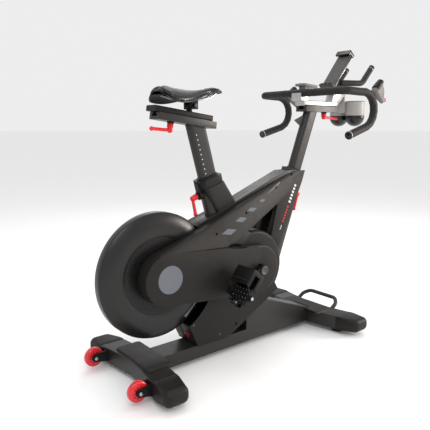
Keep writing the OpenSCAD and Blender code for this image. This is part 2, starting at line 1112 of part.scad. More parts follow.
module seat_carriage() {
  color(dark)
    on_guide() {
      tongue(-90, 70);
      along_x(-134, 112)
        translate([0, gap + 10])
          rounded(guide_w, 20, 5);
      translate([tilt_up[0] - 4, 0, 15])
        rotate([0, -guide_slope, 0])
          cylinder(r = 11, h = 26);
      translate([tilt_up[0], 0, tilt_up[1]])
        rotate([90, 0, 0]) {
          cylinder(r = 11, h = 28, center = true);
          cylinder(r = tilt_pin_r - fit_gap, h = 58, center = true);
        }
    }
}

clamp_half = 16;

module saddle_clamp() {
  color(dark)
    difference() {
      union() {
        mirror_y()
          translate([tilt_at[0] - 14, clamp_half - 1, tilt_at[2] - 13])
            cube([28, 10, rail_z - tilt_at[2] + 12]);
        translate([tilt_at[0] - 20, -clamp_half - 9, rail_z - 4])
          cube([44, 2 * clamp_half + 18, 9]);
      }
      rod_y(tilt_at[0], tilt_at[2], tilt_pin_r, -40, 40);
      mirror_y()
        rod_x(tilt_at[0] - 60, 22, rail_z, rail_r, 120);
    }
}

rail_r = 3.5;
rail_z = 993;

// The rails' ends are moulded into the shell
function rail_line() = smooth([[-404, 34, 1005], [-362, 27, rail_z], [-335, 22, rail_z], [-262, 22, rail_z],
  [-226, 17, rail_z + 6], [-190, 8, 1017]], 10);

module saddle_rails() {
  color(silver)
    mirror_y()
      bent_rod(rail_line(), rail_r, [0, 1, 0]);
}

saddle_back = -440;
saddle_len = 277;

// Half width of the saddle and height of its top, u from 0 at the rear to 1 at the nose
function saddle_half(u) = 17 + 60 * pow(cos(90 * min(1, abs(u - 0.12) / 0.7)), 1.4);
function saddle_top(u) = 1037 - 13 * sin(180 * min(1, max(0, (u - 0.08) / 0.8))) + 3 * u;

// How far the ends round off in plan, 1 between them
function saddle_end(u) = sqrt(1 - pow(0.8 * max(0, max((0.08 - u) / 0.08, (u - 0.94) / 0.06)), 2));

// One cross-section: crowned on top, flat below; shrink pulls it in, z0 and z1 are depths below the top
function saddle_ring(u, shrink, z0, z1, droop) = let (w = (saddle_half(u) - shrink) * saddle_end(u))
  concat([for (a = [0 : 15 : 180]) let (y = w * cos(a))
      [saddle_back + saddle_len * u, y, saddle_top(u) - z0 - droop * pow(y / 76, 2) * 1.1]],
    [for (a = [180 : -15 : 0]) let (y = (w - 2) * cos(a))
      [saddle_back + saddle_len * u, y, saddle_top(u) - z1 - droop * pow(y / 76, 2) * 1.1]]);

saddle_u = [0, 0.02, 0.05, 0.08, 0.16, 0.24, 0.32, 0.4, 0.48, 0.56, 0.64, 0.72, 0.8, 0.88, 0.94, 0.97, 1];

module saddle_pad() {
  color(rubber)
    loft([for (u = saddle_u) saddle_ring(u, 0, 0, 17, 34)]);
}

module saddle_shell() {
  color(plastic)
    loft([for (u = saddle_u) saddle_ring(u, 3, 18, 22, 34)]);
}

// ---------- handlebar ----------

bar_post_l = 460;
bar_post_top = 262;

module bar_post() {
  color(steel) {
    difference() {
      on_bar_axis()
        translate([0, 0, bar_post_top - bar_post_l])
          linear_extrude(bar_post_l + 40)
            oblong(bar_w, post_w);
      on_bar_axis()
        translate([0, 0, bar_post_top - bar_post_l - 1])
          linear_extrude(bar_post_l - 30)
            oblong(bar_w - 6, post_w - 6);
      translate([200, -60, rail_at[2] - 24])
        cube([400, 120, 200]);
    }
    plate(-3, 3)
      polygon([[310, 950], [246, 925], [292, 896]]);
    difference() {
      on_rail()
        along_x(-107, 104)
          guide_profile(30, -24, 0, 16, 10, gap);
      on_rail()
        translate([43, 0, -30])
          cylinder(r = slide_stud_r + fit_gap, h = 24);
    }
  }
}

module bar_carriage() {
  color(silver)
    difference() {
      union() {
        on_rail() {
          tongue(-80, 60);
          along_x(-117, 104)
            translate([0, gap + 11])
              rounded(50, 22, 5);
        }
        translate([bar_at_x - 22, -26, rail_at[2] + 20])
          cube([46, 52, bar_at_z - rail_at[2] - 20]);
        plate(-20, 20)
          polygon([[468, 1006], [499, 1006], [548, 1062], [548, 1074], [490, 1074]]);
      }
      rod_y(bar_at_x, bar_at_z, bar_d / 2 - 3, -60, 60);
    }
}

bar_front = 466;

// Centre line of the right half of the handlebar, from the middle to the end of the drop
function bar_line(s) = concat(
  [[bar_at_x, 0, bar_at_z], [bar_at_x, s * (drop_y - 38), bar_at_z]],
  [for (a = [20 : 35 : 90]) [bar_at_x + 30 * (1 - cos(a)), s * (drop_y - 38 + 30 * sin(a)), bar_at_z]],
  [[bar_at_x + 100, s * (drop_y - 6), bar_at_z - 2]],
  arc_xz(bar_front - 72, bar_at_z - 74, 72, 85, -70, 7, s * drop_y),
  [[bar_at_x + 19, s * (drop_y + 6), bar_at_z - 176]]);

function reversed(p) = [for (i = [len(p) - 1 : -1 : 0]) p[i]];

module handlebar() {
  color(rubber)
    difference() {
      bent_rod(concat(reversed(bar_line(-1)), [for (i = [1 : len(bar_line(1)) - 1]) bar_line(1)[i]]),
        bar_d / 2, [0, -1, 0]);
      translate([bar_at_x - 23, -26.02, bar_at_z - 30])
        cube([50, 52.04, 30.02]);
    }
}

hood_x = 452;
hood_z = 1038;
button_r = 4;

module hoods() {
  color(silver)
    mirror_y()
      difference() {
        hull() {
          translate([hood_x + 16, drop_y, hood_z + 2])
            sphere(17, $fn = 32);
          translate([hood_x + 56, drop_y, hood_z + 8])
            sphere(14, $fn = 32);
          translate([hood_x + 46, drop_y, hood_z + 32])
            sphere(12, $fn = 32);
          translate([hood_x + 66, drop_y, hood_z - 36])
            sphere(9, $fn = 32);
        }
        bent_rod(bar_line(1), bar_d / 2 + 0.2, [1, 0, 0]);
        rod_x(hood_x + 55, drop_y, hood_z - 30, button_r + fit_gap, 40);
      }
}

module shift_button(side) {
  color(red) {
    rod_x(hood_x + 62, side * drop_y, hood_z - 30, button_r, 19);
    rod_x(hood_x + 81, side * drop_y, hood_z - 30, 2 * button_r, 5);
  }
}

module button_left() {
  shift_button(1);
}

module button_right() {
  shift_button(-1);
}

grip_r = 13;

grip_tip = 0.735 * grip_r; // reach of the slanted end beyond its centre
grip_line = smooth([[500, 40, 1090], [560, 62, 1090], [612, 70, 1092],
  [half_l - grip_tip, 70, 1168]], 16);

module grip_bars() {
  color(rubber)
    mirror_y()
      bent_rod(grip_line, grip_r, [0, 0, 1]);
}

module console() {
  color(silver)
    translate([316, 0, bar_at_z + 28])
      rotate([0, 4, 0])
        linear_extrude(9)
          rounded(88, 60, 10);
  color(dark)
    translate([300, 0, bar_at_z + 16])
      linear_extrude(14)
        rounded(30, 34, 6);
}

holder_w = 70;
holder_l = 178;

module tablet_holder() {
  color(dark) {
    on_holder() {
      translate([0, -holder_w / 2, 6])
        cube([6, holder_w, holder_l]);
      translate([-16, -holder_w / 2 - 2, -4])
        cube([22, holder_w + 4, 10]);
      difference() {
        translate([6, -holder_w / 2, 0])
          cube([14, holder_w, 12]);
        mirror_y()
          translate([14, holder_w / 2 - 6, -1])
            cylinder(r = 3 + fit_gap, h = 20);
      }
    }
    plate(-22, 22)
      polygon([[456, 1074], [560, 1074], [560, 1082], [474, 1082]]);
    translate([500, -27, 1082])
      cube([60, 54, 6]);
  }
}

// The clamp rises on two rods that slide in the holder's base
module tablet_clamp() {
  color(dark)
    on_holder() {
      translate([-18, -holder_w / 2 - 2, holder_l + 6.3])
        cube([38, holder_w + 4, 12]);
      translate([-18, -holder_w / 2 - 2, holder_l - 4])
        cube([10, holder_w + 4, 12]);
      mirror_y()
        translate([14, holder_w / 2 - 6, -28])
          cylinder(r = 3, h = holder_l + 40);
    }
}

cup_r = 42;
cup_x = 604;
cup_y = 45;

module bottle_cages() {
  color(silver)
    mirror_y()
      translate([cup_x, cup_y, 0])
        rotate_extrude($fn = fine)
          polygon(concat([for (a = [-90 : 15 : 0]) [cup_r * cos(a), 942 + cup_r * sin(a)]],
            [[cup_r, 1012], [cup_r - 3, 1012], [cup_r - 3, 942]],
            [for (a = [0 : -15 : -90]) [(cup_r - 4) * cos(a), 942 + (cup_r - 4) * sin(a)]]));
  color(dark)
    plate(-18, 18)
      polygon([[499, 1006], [548, 1062], [566, 1050], [566, 1004], [574, 1004], [574, 960], [558, 960],
        [558, 1040], [512, 994]]);
}

// ---------- clamp levers ----------

// A lever in its own frame: stud along +Z, then the red hub and the handle along +X
module lever(stud_l, stud_r, rise, reach) {
  translate([0, 0, -stud_l])
    cylinder(r = stud_r, h = stud_l);
  cylinder(r = 10, h = rise);
  translate([0, 0, rise])
    sphere(10);
  rod_between([0, 0, rise], [reach, 0, rise + 4], 6);
  translate([reach, 0, rise + 4])
    sphere(8);
}

module lever_seat_height() {
  color(red)
    on_seat_axis()
      translate([-seat_w / 2 - 24, 0, seat_knob_z])
        rotate([0, -90, 0])
          rotate([0, 0, 180])
            lever(17, stud_r, 24, 62);
}

module lever_seat_slide() {
  color(red)
    on_guide()
      translate([-50, 0, -26])
        rotate([180, 0, 180])
          lever(11, slide_stud_r, 28, 74);
}

module lever_bar_slide() {
  color(red)
    on_rail()
      translate([43, 0, -25])
        rotate([180, 0, 0])
          lever(10, slide_stud_r, 22, 88);
}

module lever_bar_height() {
  color(red)
    on_bar_axis()
      translate([head_front + 3, 0, -90])
        rotate([0, 90, 0])
          lever(7, stud_r, 24, 66);
}

// The wheels' axle bolts and the screws that hold the shells
module fasteners() {
  color(silver)
    mirror_y() {
      rod_y(wheel_x, wheel_z, axle_r, wheel_y - 24, wheel_y + 24);
      rod_y(-340, 171, 5, shell_y, shell_y + 1.5);
      rod_y(-215, 105, 5, shell_y, shell_y + 1.5);
    }
}

main_beam();
rear_stabiliser();
front_stabiliser();
stabiliser_trim();
lift_handle();
wheel_forks();
wheel_left();
wheel_right();
foot_rear_left();
foot_rear_right();
foot_front_left();
foot_front_right();
seat_tube();
frame_arm();
head_tube();
frame_upright();
seat_clamp();
post_sleeves();
shell_right();
shell_left();
cover_right();
cover_left();
seat_shroud();
flywheel_cover_right();
flywheel_cover_left();
fasteners();
bearings();
flywheel_axle();
brake_magnets();
belt();
power_inlet();
flywheel();
flywheel_pulley();
crank_axle();
drive_pulley();
crank_right();
crank_left();
pedal_right();
pedal_left();
seat_post();
seat_carriage();
saddle_clamp();
saddle_rails();
saddle_shell();
saddle_pad();
bar_post();
bar_carriage();
handlebar();
hoods();
button_left();
button_right();
grip_bars();
console();
tablet_holder();
tablet_clamp();
bottle_cages();
lever_seat_height();
lever_seat_slide();
lever_bar_height();
lever_bar_slide();
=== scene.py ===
"""Looks of the indoor exercise bike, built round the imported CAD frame. Metres, +X forward, +Z up."""

import json
import math

import bmesh
import bpy
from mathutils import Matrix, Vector
from mathutils.bvhtree import BVHTree


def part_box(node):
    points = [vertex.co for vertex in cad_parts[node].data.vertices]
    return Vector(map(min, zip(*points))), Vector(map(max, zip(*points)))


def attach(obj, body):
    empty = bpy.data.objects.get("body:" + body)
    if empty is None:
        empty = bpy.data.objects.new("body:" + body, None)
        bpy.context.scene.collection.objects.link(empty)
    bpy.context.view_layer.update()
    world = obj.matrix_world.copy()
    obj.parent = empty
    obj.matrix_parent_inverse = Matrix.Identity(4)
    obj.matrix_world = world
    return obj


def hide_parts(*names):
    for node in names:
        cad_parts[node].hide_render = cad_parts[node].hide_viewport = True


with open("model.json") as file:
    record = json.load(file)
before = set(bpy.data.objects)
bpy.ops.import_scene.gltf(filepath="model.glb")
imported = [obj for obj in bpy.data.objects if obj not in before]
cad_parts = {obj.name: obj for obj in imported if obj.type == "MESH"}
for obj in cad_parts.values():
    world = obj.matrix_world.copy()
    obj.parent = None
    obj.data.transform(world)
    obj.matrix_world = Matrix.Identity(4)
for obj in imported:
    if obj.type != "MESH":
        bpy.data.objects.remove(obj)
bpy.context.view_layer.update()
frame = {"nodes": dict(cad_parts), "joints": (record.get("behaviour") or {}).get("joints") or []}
scene = bpy.context.scene
nodes = frame["nodes"]
RIGHT, LEFT = -1, 1
MM = 0.001
SIDES = ((RIGHT, "right"), (LEFT, "left"))
ACROSS = (0, 1, 0)

# ---------- camera, light and floor ----------

CAMERA_AT = (-1.383, -1.498, 0.891)
CAMERA_YAW = math.radians(38.61)
CAMERA_PITCH = math.radians(9.77)
LENS = 42.2


def add_camera():
    data = bpy.data.cameras.new("camera")
    data.lens = LENS
    data.sensor_width = 36
    cam = bpy.data.objects.new("camera", data)
    scene.collection.objects.link(cam)
    cam.location = CAMERA_AT
    level = math.cos(CAMERA_PITCH)
    ahead = Vector((math.sin(CAMERA_YAW) * level, math.cos(CAMERA_YAW) * level, -math.sin(CAMERA_PITCH)))
    cam.rotation_mode = "QUATERNION"
    cam.rotation_quaternion = ahead.to_track_quat("-Z", "Y")
    scene.camera = cam


def add_light(name, at, target, size, power, tint=(1, 1, 1)):
    data = bpy.data.lights.new(name, "AREA")
    data.shape = "DISK"
    data.size = size
    data.energy = power
    data.color = tint
    lamp = bpy.data.objects.new(name, data)
    scene.collection.objects.link(lamp)
    lamp.location = at
    lamp.rotation_mode = "QUATERNION"
    lamp.rotation_quaternion = (Vector(target) - Vector(at)).to_track_quat("-Z", "Y")


def add_studio():
    world = bpy.data.worlds.new("studio")
    scene.world = world
    scene.view_settings.view_transform = "Standard"
    world.use_nodes = True
    sky = world.node_tree.nodes["Background"]
    sky.inputs["Color"].default_value = (1, 1, 1, 1)
    sky.inputs["Strength"].default_value = 0.85
    middle = (0, 0, 0.6)
    add_light("key", (-1.8, -2.4, 3.0), middle, 2.0, 42)
    add_light("top", (0.3, 0.4, 3.4), middle, 2.6, 30)
    add_light("rim", (1.6, 2.6, 2.2), middle, 1.6, 10)
    add_light("fill", (2.6, -1.8, 1.2), middle, 1.1, 60, (1.0, 0.91, 0.84))
    bpy.ops.mesh.primitive_plane_add(size=300, location=(0, 0, 0))
    floor = bpy.context.object
    floor.name = "floor"
    floor.data.materials.append(moulded("floor_white", (0.93, 0.93, 0.93), 0.75, 0.02, 4, 0.01))


# ---------- materials ----------


def new_material(name, color, rough, metallic=0.0):
    m = bpy.data.materials.new(name)
    m.use_nodes = True
    shader = m.node_tree.nodes["Principled BSDF"]
    shader.inputs["Base Color"].default_value = (*color, 1)
    shader.inputs["Roughness"].default_value = rough
    shader.inputs["Metallic"].default_value = metallic
    return m, m.node_tree, shader


def object_noise(tree, scale, detail=3.0, stretch=(1, 1, 1)):
    """Noise fixed to the object's own coordinates."""
    coords = tree.nodes.new("ShaderNodeTexCoord")
    mapping = tree.nodes.new("ShaderNodeMapping")
    mapping.inputs["Scale"].default_value = stretch
    noise = tree.nodes.new("ShaderNodeTexNoise")
    noise.inputs["Scale"].default_value = scale
    noise.inputs["Detail"].default_value = detail
    tree.links.new(coords.outputs["Object"], mapping.inputs["Vector"])
    tree.links.new(mapping.outputs["Vector"], noise.inputs["Vector"])
    return noise


def vary_color(tree, shader, noise, color, spread):
    ramp = tree.nodes.new("ShaderNodeValToRGB")
    ramp.color_ramp.elements[0].position = 0.3
    ramp.color_ramp.elements[1].position = 0.7
    ramp.color_ramp.elements[0].color = (*[c * (1 - spread) for c in color], 1)
    ramp.color_ramp.elements[1].color = (*[min(1, c * (1 + spread)) for c in color], 1)
    tree.links.new(noise.outputs["Fac"], ramp.inputs["Fac"])
    tree.links.new(ramp.outputs["Color"], shader.inputs["Base Color"])


def vary_roughness(tree, shader, noise, low, high):
    span = tree.nodes.new("ShaderNodeMapRange")
    span.inputs["To Min"].default_value = low
    span.inputs["To Max"].default_value = high
    tree.links.new(noise.outputs["Fac"], span.inputs["Value"])
    tree.links.new(span.outputs["Result"], shader.inputs["Roughness"])


def add_bump(tree, shader, height, strength, distance):
    bump = tree.nodes.new("ShaderNodeBump")
    bump.inputs["Strength"].default_value = strength
    bump.inputs["Distance"].default_value = distance
    tree.links.new(height, bump.inputs["Height"])
    tree.links.new(bump.outputs["Normal"], shader.inputs["Normal"])


def moulded(name, color, rough, bump=0.12, grain=900, spread=0.10, coat=0.0, shine=0.2):
    """Moulded plastic or paint with a fine grain, slight cloudiness and handling marks."""
    m, tree, shader = new_material(name, color, rough)
    cloud = object_noise(tree, 9, 4)
    vary_color(tree, shader, cloud, color, spread)
    marks = object_noise(tree, 38, 5)
    vary_roughness(tree, shader, marks, rough - 0.07, min(1, rough + 0.08))
    if bump:
        add_bump(tree, shader, object_noise(tree, grain, 2).outputs["Fac"], bump, 0.0006)
    shader.inputs["Specular IOR Level"].default_value = shine
    shader.inputs["Coat Weight"].default_value = coat
    shader.inputs["Coat Roughness"].default_value = 0.25
    return m


def brushed(name, color, rough, stretch):
    """Metal with fine lines drawn along one axis."""
    m, tree, shader = new_material(name, color, rough, 1.0)
    lines = object_noise(tree, 60, 4, stretch)
    vary_color(tree, shader, lines, color, 0.10)
    vary_roughness(tree, shader, lines, rough - 0.08, rough + 0.12)
    add_bump(tree, shader, lines.outputs["Fac"], 0.08, 0.0004)
    return m


def leather(name, color, rough):
    """Glossy saddle cover: a cell-like grain over soft creases."""
    m, tree, shader = new_material(name, color, rough)
    cells = tree.nodes.new("ShaderNodeTexVoronoi")
    cells.inputs["Scale"].default_value = 520
    coords = tree.nodes.new("ShaderNodeTexCoord")
    tree.links.new(coords.outputs["Object"], cells.inputs["Vector"])
    creases = object_noise(tree, 26, 6)
    vary_color(tree, shader, creases, color, 0.25)
    vary_roughness(tree, shader, creases, rough - 0.08, rough + 0.12)
    add_bump(tree, shader, cells.outputs["Distance"], 0.22, 0.0006)
    shader.inputs["Specular IOR Level"].default_value = 0.4
    shader.inputs["Coat Weight"].default_value = 0.12
    shader.inputs["Coat Roughness"].default_value = 0.2
    return m


def dimpled(name, color, rough, scale, depth):
    """Rubbery wrap with small raised cells."""
    m, tree, shader = new_material(name, color, rough)
    cells = tree.nodes.new("ShaderNodeTexVoronoi")
    cells.inputs["Scale"].default_value = scale
    coords = tree.nodes.new("ShaderNodeTexCoord")
    tree.links.new(coords.outputs["Object"], cells.inputs["Vector"])
    vary_color(tree, shader, object_noise(tree, 16, 4), color, 0.18)
    add_bump(tree, shader, cells.outputs["Distance"], depth, 0.0008)
    shader.inputs["Specular IOR Level"].default_value = 0.28
    return m


def urethane(name, color):
    """Slightly clear red wheel rubber with scuffs."""
    m, tree, shader = new_material(name, color, 0.3)
    vary_color(tree, shader, object_noise(tree, 40, 5), color, 0.16)
    vary_roughness(tree, shader, object_noise(tree, 120, 4), 0.22, 0.5)
    add_bump(tree, shader, object_noise(tree, 300, 3).outputs["Fac"], 0.1, 0.0005)
    shader.inputs["Subsurface Weight"].default_value = 0.25
    shader.inputs["Subsurface Radius"].default_value = (0.012, 0.003, 0.002)
    shader.inputs["Coat Weight"].default_value = 0.3
    return m


LOOKS = {
    "frame": moulded("frame_paint", (0.0125, 0.0112, 0.0104), 0.42, 0.10, 700, 0.10, 0.06, 0.4),
    "plastic": moulded("charcoal_plastic", (0.0130, 0.0113, 0.0104), 0.48, 0.16, 1100, 0.10),
    "shell": moulded("shell_plastic", (0.0105, 0.0094, 0.0088), 0.45, 0.16, 1100, 0.10),
    "housing": moulded("housing_plastic", (0.0078, 0.0072, 0.0070), 0.32, 0.06, 900, 0.12, 0.10, 0.35),
    "black": moulded("black_plastic", (0.0060, 0.0058, 0.0058), 0.42, 0.14, 900, 0.15),
    "gloss_black": moulded("gloss_black", (0.0050, 0.0050, 0.0052), 0.22, 0.04, 900, 0.15, 0.15, 0.35),
    # Near-black and nearly matt: painted shade in the vent pockets, screw wells, notch patch and wheel-hub
    # holes, and the console button's own black.
    "dark": moulded("black_and_painted_shade", (0.0015, 0.0015, 0.0015), 0.8, 0.05, 900, 0.2, 0.0, 0.1),
    "red": moulded("red_plastic", (0.66, 0.012, 0.018), 0.34, 0.08, 800, 0.10, 0.10, 0.35),
    "wheel": urethane("red_urethane", (0.62, 0.010, 0.020)),
    "rubber": dimpled("foot_rubber", (0.0075, 0.0075, 0.0075), 0.75, 700, 0.25),
    "wrap": dimpled("grip_wrap", (0.0120, 0.0108, 0.0102), 0.58, 900, 0.35),
    "saddle": leather("saddle_cover", (0.0060, 0.0056, 0.0056), 0.30),
    "stitch": moulded("stitch_thread", (0.045, 0.045, 0.046), 0.6, 0.3, 1800, 0.2),
    "steel": brushed("bright_steel", (0.50, 0.50, 0.50), 0.25, (1, 18, 1)),
    "chrome": brushed("rail_chrome", (0.42, 0.42, 0.42), 0.25, (1, 1, 1)),
    "dark_steel": brushed("blackened_steel", (0.085, 0.083, 0.08), 0.38, (1, 18, 1)),
    "silver": brushed("satin_aluminium", (0.44, 0.43, 0.42), 0.36, (18, 1, 1)),
    "iron": brushed("flywheel_iron", (0.22, 0.22, 0.23), 0.40, (1, 14, 1)),
    "magnet": moulded("magnet_grey", (0.12, 0.12, 0.13), 0.4, 0.1, 600, 0.1),
    "light_grey": moulded("light_grey_plastic", (0.34, 0.325, 0.31), 0.42, 0.10, 900, 0.08, 0.1),
    "mid_grey": moulded("mid_grey_plastic", (0.15, 0.14, 0.135), 0.44, 0.12, 900, 0.10),
    "panel": moulded("panel_grey", (0.055, 0.052, 0.049), 0.55, 0.12, 900, 0.10),
    "badge": moulded("badge_grey", (0.125, 0.132, 0.155), 0.40, 0.03, 500, 0.04, 0.05),
    # Grey of the trim line, and painted highlight on the bead round the crank.
    "trim": moulded("trim_grey_and_painted_highlight", (0.085, 0.080, 0.076), 0.4, 0.03, 500, 0.05),
    "white": moulded("stripe_white", (0.62, 0.61, 0.60), 0.4, 0.03, 600, 0.03),
    "stripe_red": moulded("stripe_red", (0.50, 0.02, 0.02), 0.4, 0.03, 600, 0.05),
}

# Which nodes each material covers
SURFACES = {
    "frame": "main_beam rear_stabiliser front_stabiliser lift_handle seat_tube frame_arm head_tube"
    " frame_upright seat_post bar_post",
    "plastic": "cover_right cover_left seat_shroud stabiliser_trim",
    "shell": "shell_right shell_left",
    "housing": "flywheel_cover_right flywheel_cover_left",
    "black": "wheel_forks seat_clamp post_sleeves power_inlet pedal_right pedal_left seat_carriage"
    " saddle_clamp saddle_shell drive_pulley crank_right crank_left",
    "gloss_black": "tablet_clamp",
    "red": "lever_seat_height lever_seat_slide lever_bar_height lever_bar_slide button_left button_right",
    "wheel": "wheel_left wheel_right",
    "rubber": "foot_rear_left foot_rear_right foot_front_left foot_front_right belt",
    "wrap": "handlebar grip_bars",
    "saddle": "saddle_pad",
    "dark_steel": "fasteners",
    "steel": "bearings flywheel_axle crank_axle flywheel_pulley",
    "chrome": "saddle_rails",
    "silver": "bar_carriage",
    "iron": "flywheel",
    "magnet": "brake_magnets",
    "light_grey": "bottle_cages",
    "mid_grey": "hoods console",
    "panel": "tablet_holder",
}

# Width in millimetres of the small rounding on a node's hard edges
EDGES = {
    "main_beam": 2.5, "rear_stabiliser": 5, "front_stabiliser": 5, "frame_arm": 4, "head_tube": 4,
    "cover_right": 3.5, "cover_left": 3.5, "shell_right": 2, "shell_left": 2, "seat_shroud": 3,
    "seat_tube": 1.5, "seat_clamp": 2, "stabiliser_trim": 1.5, "seat_carriage": 1.5, "bar_carriage": 1.5,
    "bar_post": 1.2, "seat_post": 1.2, "tablet_holder": 1.2, "tablet_clamp": 2, "console": 1.5,
    "crank_right": 2, "crank_left": 2, "pedal_right": 2, "pedal_left": 2, "wheel_forks": 1.5,
    "saddle_clamp": 1.5, "post_sleeves": 1,
}


def dress_frame():
    """Gives every CAD node its material, smooth faces and slightly rounded edges."""
    for key, names in SURFACES.items():
        for name in names.split():
            o = nodes[name]
            o.data.materials.clear()
            o.data.materials.append(LOOKS[key])
            o.data.shade_smooth()
            weld = o.modifiers.new("weld", "WELD")
            weld.merge_threshold = 1e-5
            if name in EDGES:
                bevel = o.modifiers.new("edges", "BEVEL")
                bevel.width = EDGES[name] * MM
                bevel.segments = 3
                bevel.limit_method = "ANGLE"
                bevel.angle_limit = math.radians(40)
                bevel.use_clamp_overlap = True
                bevel.harden_normals = False
            split_sharp(o)


def split_sharp(o, angle=36):
    """Keeps edges sharper than the angle crisp under smooth shading."""
    edges = o.modifiers.new("crisp", "EDGE_SPLIT")
    edges.split_angle = math.radians(angle)
    edges.use_edge_sharp = False


# ---------- building helpers ----------


def piece(name, bm, material, body, smooth=True):
    mesh = bpy.data.meshes.new(name)
    bmesh.ops.recalc_face_normals(bm, faces=bm.faces)
    bm.to_mesh(mesh)
    bm.free()
    if smooth:
        mesh.shade_smooth()
    o = bpy.data.objects.new(name, mesh)
    scene.collection.objects.link(o)
    for m in material if isinstance(material, list) else [material]:
        mesh.materials.append(m)
    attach(o, body)
    return o


def joint_place(name):
    """Where one of the frame's joints turns, in metres."""
    return next(j for j in frame["joints"] if j["name"] == name)["pos_m"]


def mirrored(at, side):
    """A place given on the left side, or its mirror image on the right."""
    return Vector((at[0], side * at[1], at[2]))


def frame_along(axis):
    """Two unit vectors across an axis."""
    a = Vector(axis).normalized()
    u = a.orthogonal().normalized()
    return a, u, a.cross(u)


def add_lathe(bm, at, axis, profile, sides=64, material=0):
    """A turned skin, closed where its radius is 0. The profile is (distance along the axis, radius)."""
    a, u, v = frame_along(axis)
    rings = []
    for along, r in profile:
        centre = Vector(at) + a * along
        if r < 1e-6:
            rings.append([bm.verts.new(centre)])
            continue
        turn = [2 * math.pi * i / sides for i in range(sides)]
        rings.append([bm.verts.new(centre + r * (math.cos(t) * u + math.sin(t) * v)) for t in turn])
    for low, high in zip(rings, rings[1:]):
        for i in range(sides):
            j = (i + 1) % sides
            corners = [low[i % len(low)], low[j % len(low)], high[j % len(high)], high[i % len(high)]]
            unique = list(dict.fromkeys(corners))
            if len(unique) > 2:
                bm.faces.new(unique).material_index = material


def turned_piece(name, at, axis, profile, sides, look, body):
    """One turned solid as a piece of its own."""
    bm = bmesh.new()
    add_lathe(bm, at, axis, profile, sides)
    piece(name, bm, LOOKS[look], body)


def ring_profile(inner, outer, width):
    """A flat ring, open at its bore."""
    return [(0, inner), (0, outer), (width, outer), (width, inner)]


def button_profile(r, h, edge):
    """A flat disc with a rounded rim, closed at both ends."""
    turn = [math.radians(a) for a in (0, 30, 60, 90)]
    rim = [(h - edge + edge * math.sin(t), r - edge + edge * math.cos(t)) for t in turn]
    return [(0, 0), (0, r), *rim, (h, 0)]


def add_box(bm, centre, size, axes, edge):
    """A box with rounded edges, on its own axes."""
    made = bmesh.ops.create_cube(bm, size=1)["verts"]
    x, y, z = [Vector(a).normalized() for a in axes]
    for p in made:
        c = p.co.copy()
        p.co = Vector(centre) + x * c.x * size[0] + y * c.y * size[1] + z * c.z * size[2]
    around = list({e for p in made for e in p.link_edges})
    bmesh.ops.bevel(bm, geom=around, offset=edge, segments=2, affect="EDGES", profile=0.5)


def smooth_path(points, steps=10):
    """Catmull-Rom curve through the points."""
    p = [Vector(q) for q in points]
    p = [2 * p[0] - p[1], *p, 2 * p[-1] - p[-2]]
    out = []
    for a, b, c, d in zip(p, p[1:], p[2:], p[3:]):
        for i in range(steps):
            t = i / steps
            square = (2 * a - 5 * b + 4 * c - d) * t**2
            cube = (3 * b - 3 * c + d - a) * t**3
            out.append(0.5 * (2 * b + (c - a) * t + square + cube))
    return [*out, p[-2]]


def add_tube(bm, path, radius, sides=12, material=0):
    """A round tube along a path, closed at its ends."""
    path = [Vector(q) for q in path]
    side = (path[1] - path[0]).orthogonal().normalized()
    rings = []
    for i, q in enumerate(path):
        ahead = (path[min(i + 1, len(path) - 1)] - path[max(i - 1, 0)]).normalized()
        side = (side - side.dot(ahead) * ahead).normalized()
        up = ahead.cross(side)
        r = radius(i / (len(path) - 1)) if callable(radius) else radius
        turn = [2 * math.pi * k / sides for k in range(sides)]
        rings.append([bm.verts.new(q + r * (math.cos(t) * side + math.sin(t) * up)) for t in turn])
    for low, high in zip(rings, rings[1:]):
        for k in range(sides):
            m = (k + 1) % sides
            bm.faces.new([low[k], low[m], high[m], high[k]]).material_index = material
    bm.faces.new(rings[0][::-1]).material_index = material
    bm.faces.new(rings[-1]).material_index = material


def surface_tree(*names):
    """A search tree over CAD nodes, to lay thin pieces on them."""
    verts, faces = [], []
    for name in names:
        mesh = nodes[name].data
        base = len(verts)
        verts += [v.co.copy() for v in mesh.vertices]
        faces += [[base + i for i in p.vertices] for p in mesh.polygons]
    return BVHTree.FromPolygons(verts, faces)


def on_side(tree, x, z, side):
    """Outer surface point and normal at a place of the X-Z plane, looking in from one side."""
    hit, normal, _, _ = tree.ray_cast(Vector((x, side * 0.4, z)), Vector((0, -side, 0)))
    return hit, normal


# How deep a thin plate's underside lies in the surface below it
SUNK = 0.0003


def add_patch(bm, tree, corners, side, thick, cuts=6):
    """A thin plate laid on a side surface, corners given in the X-Z plane in millimetres."""
    a, b, c, d = [Vector((x * MM, z * MM)) for x, z in corners]
    hits = []
    for i in range(cuts + 1):
        for j in range(cuts + 1):
            s, t = i / cuts, j / cuts
            q = (a * (1 - s) + b * s) * (1 - t) + (d * (1 - s) + c * s) * t
            hits.append(on_side(tree, q.x, q.y, side)[0])
    if any(hit is None for hit in hits):
        return
    top, low = [], []
    for hit in hits:
        low.append(bm.verts.new(hit - Vector((0, side * SUNK, 0))))
        top.append(bm.verts.new(hit + Vector((0, side * thick, 0))))
    n = cuts + 1

    def quad(grid, i, j):
        return [grid[i * n + j], grid[(i + 1) * n + j], grid[(i + 1) * n + j + 1], grid[i * n + j + 1]]

    for i in range(cuts):
        for j in range(cuts):
            bm.faces.new(quad(top, i, j))
            bm.faces.new(quad(low, i, j)[::-1])
    rim = [i * n for i in range(cuts)] + [cuts * n + j for j in range(cuts)]
    rim += [i * n + cuts for i in range(cuts, 0, -1)] + [j for j in range(cuts, 0, -1)]
    for k, i in enumerate(rim):
        j = rim[(k + 1) % len(rim)]
        bm.faces.new([top[i], top[j], low[j], low[i]])


# ---------- flywheel housing ----------

FLYWHEEL_AT = Vector(joint_place("flywheel_spin"))
VENT_ROWS = [r * MM for r in range(96, 140, 6)]
VENT_PITCH = 7.2 * MM
VENT_RADIUS = 2.3 * MM
VENT_DEPTH = 0.0022
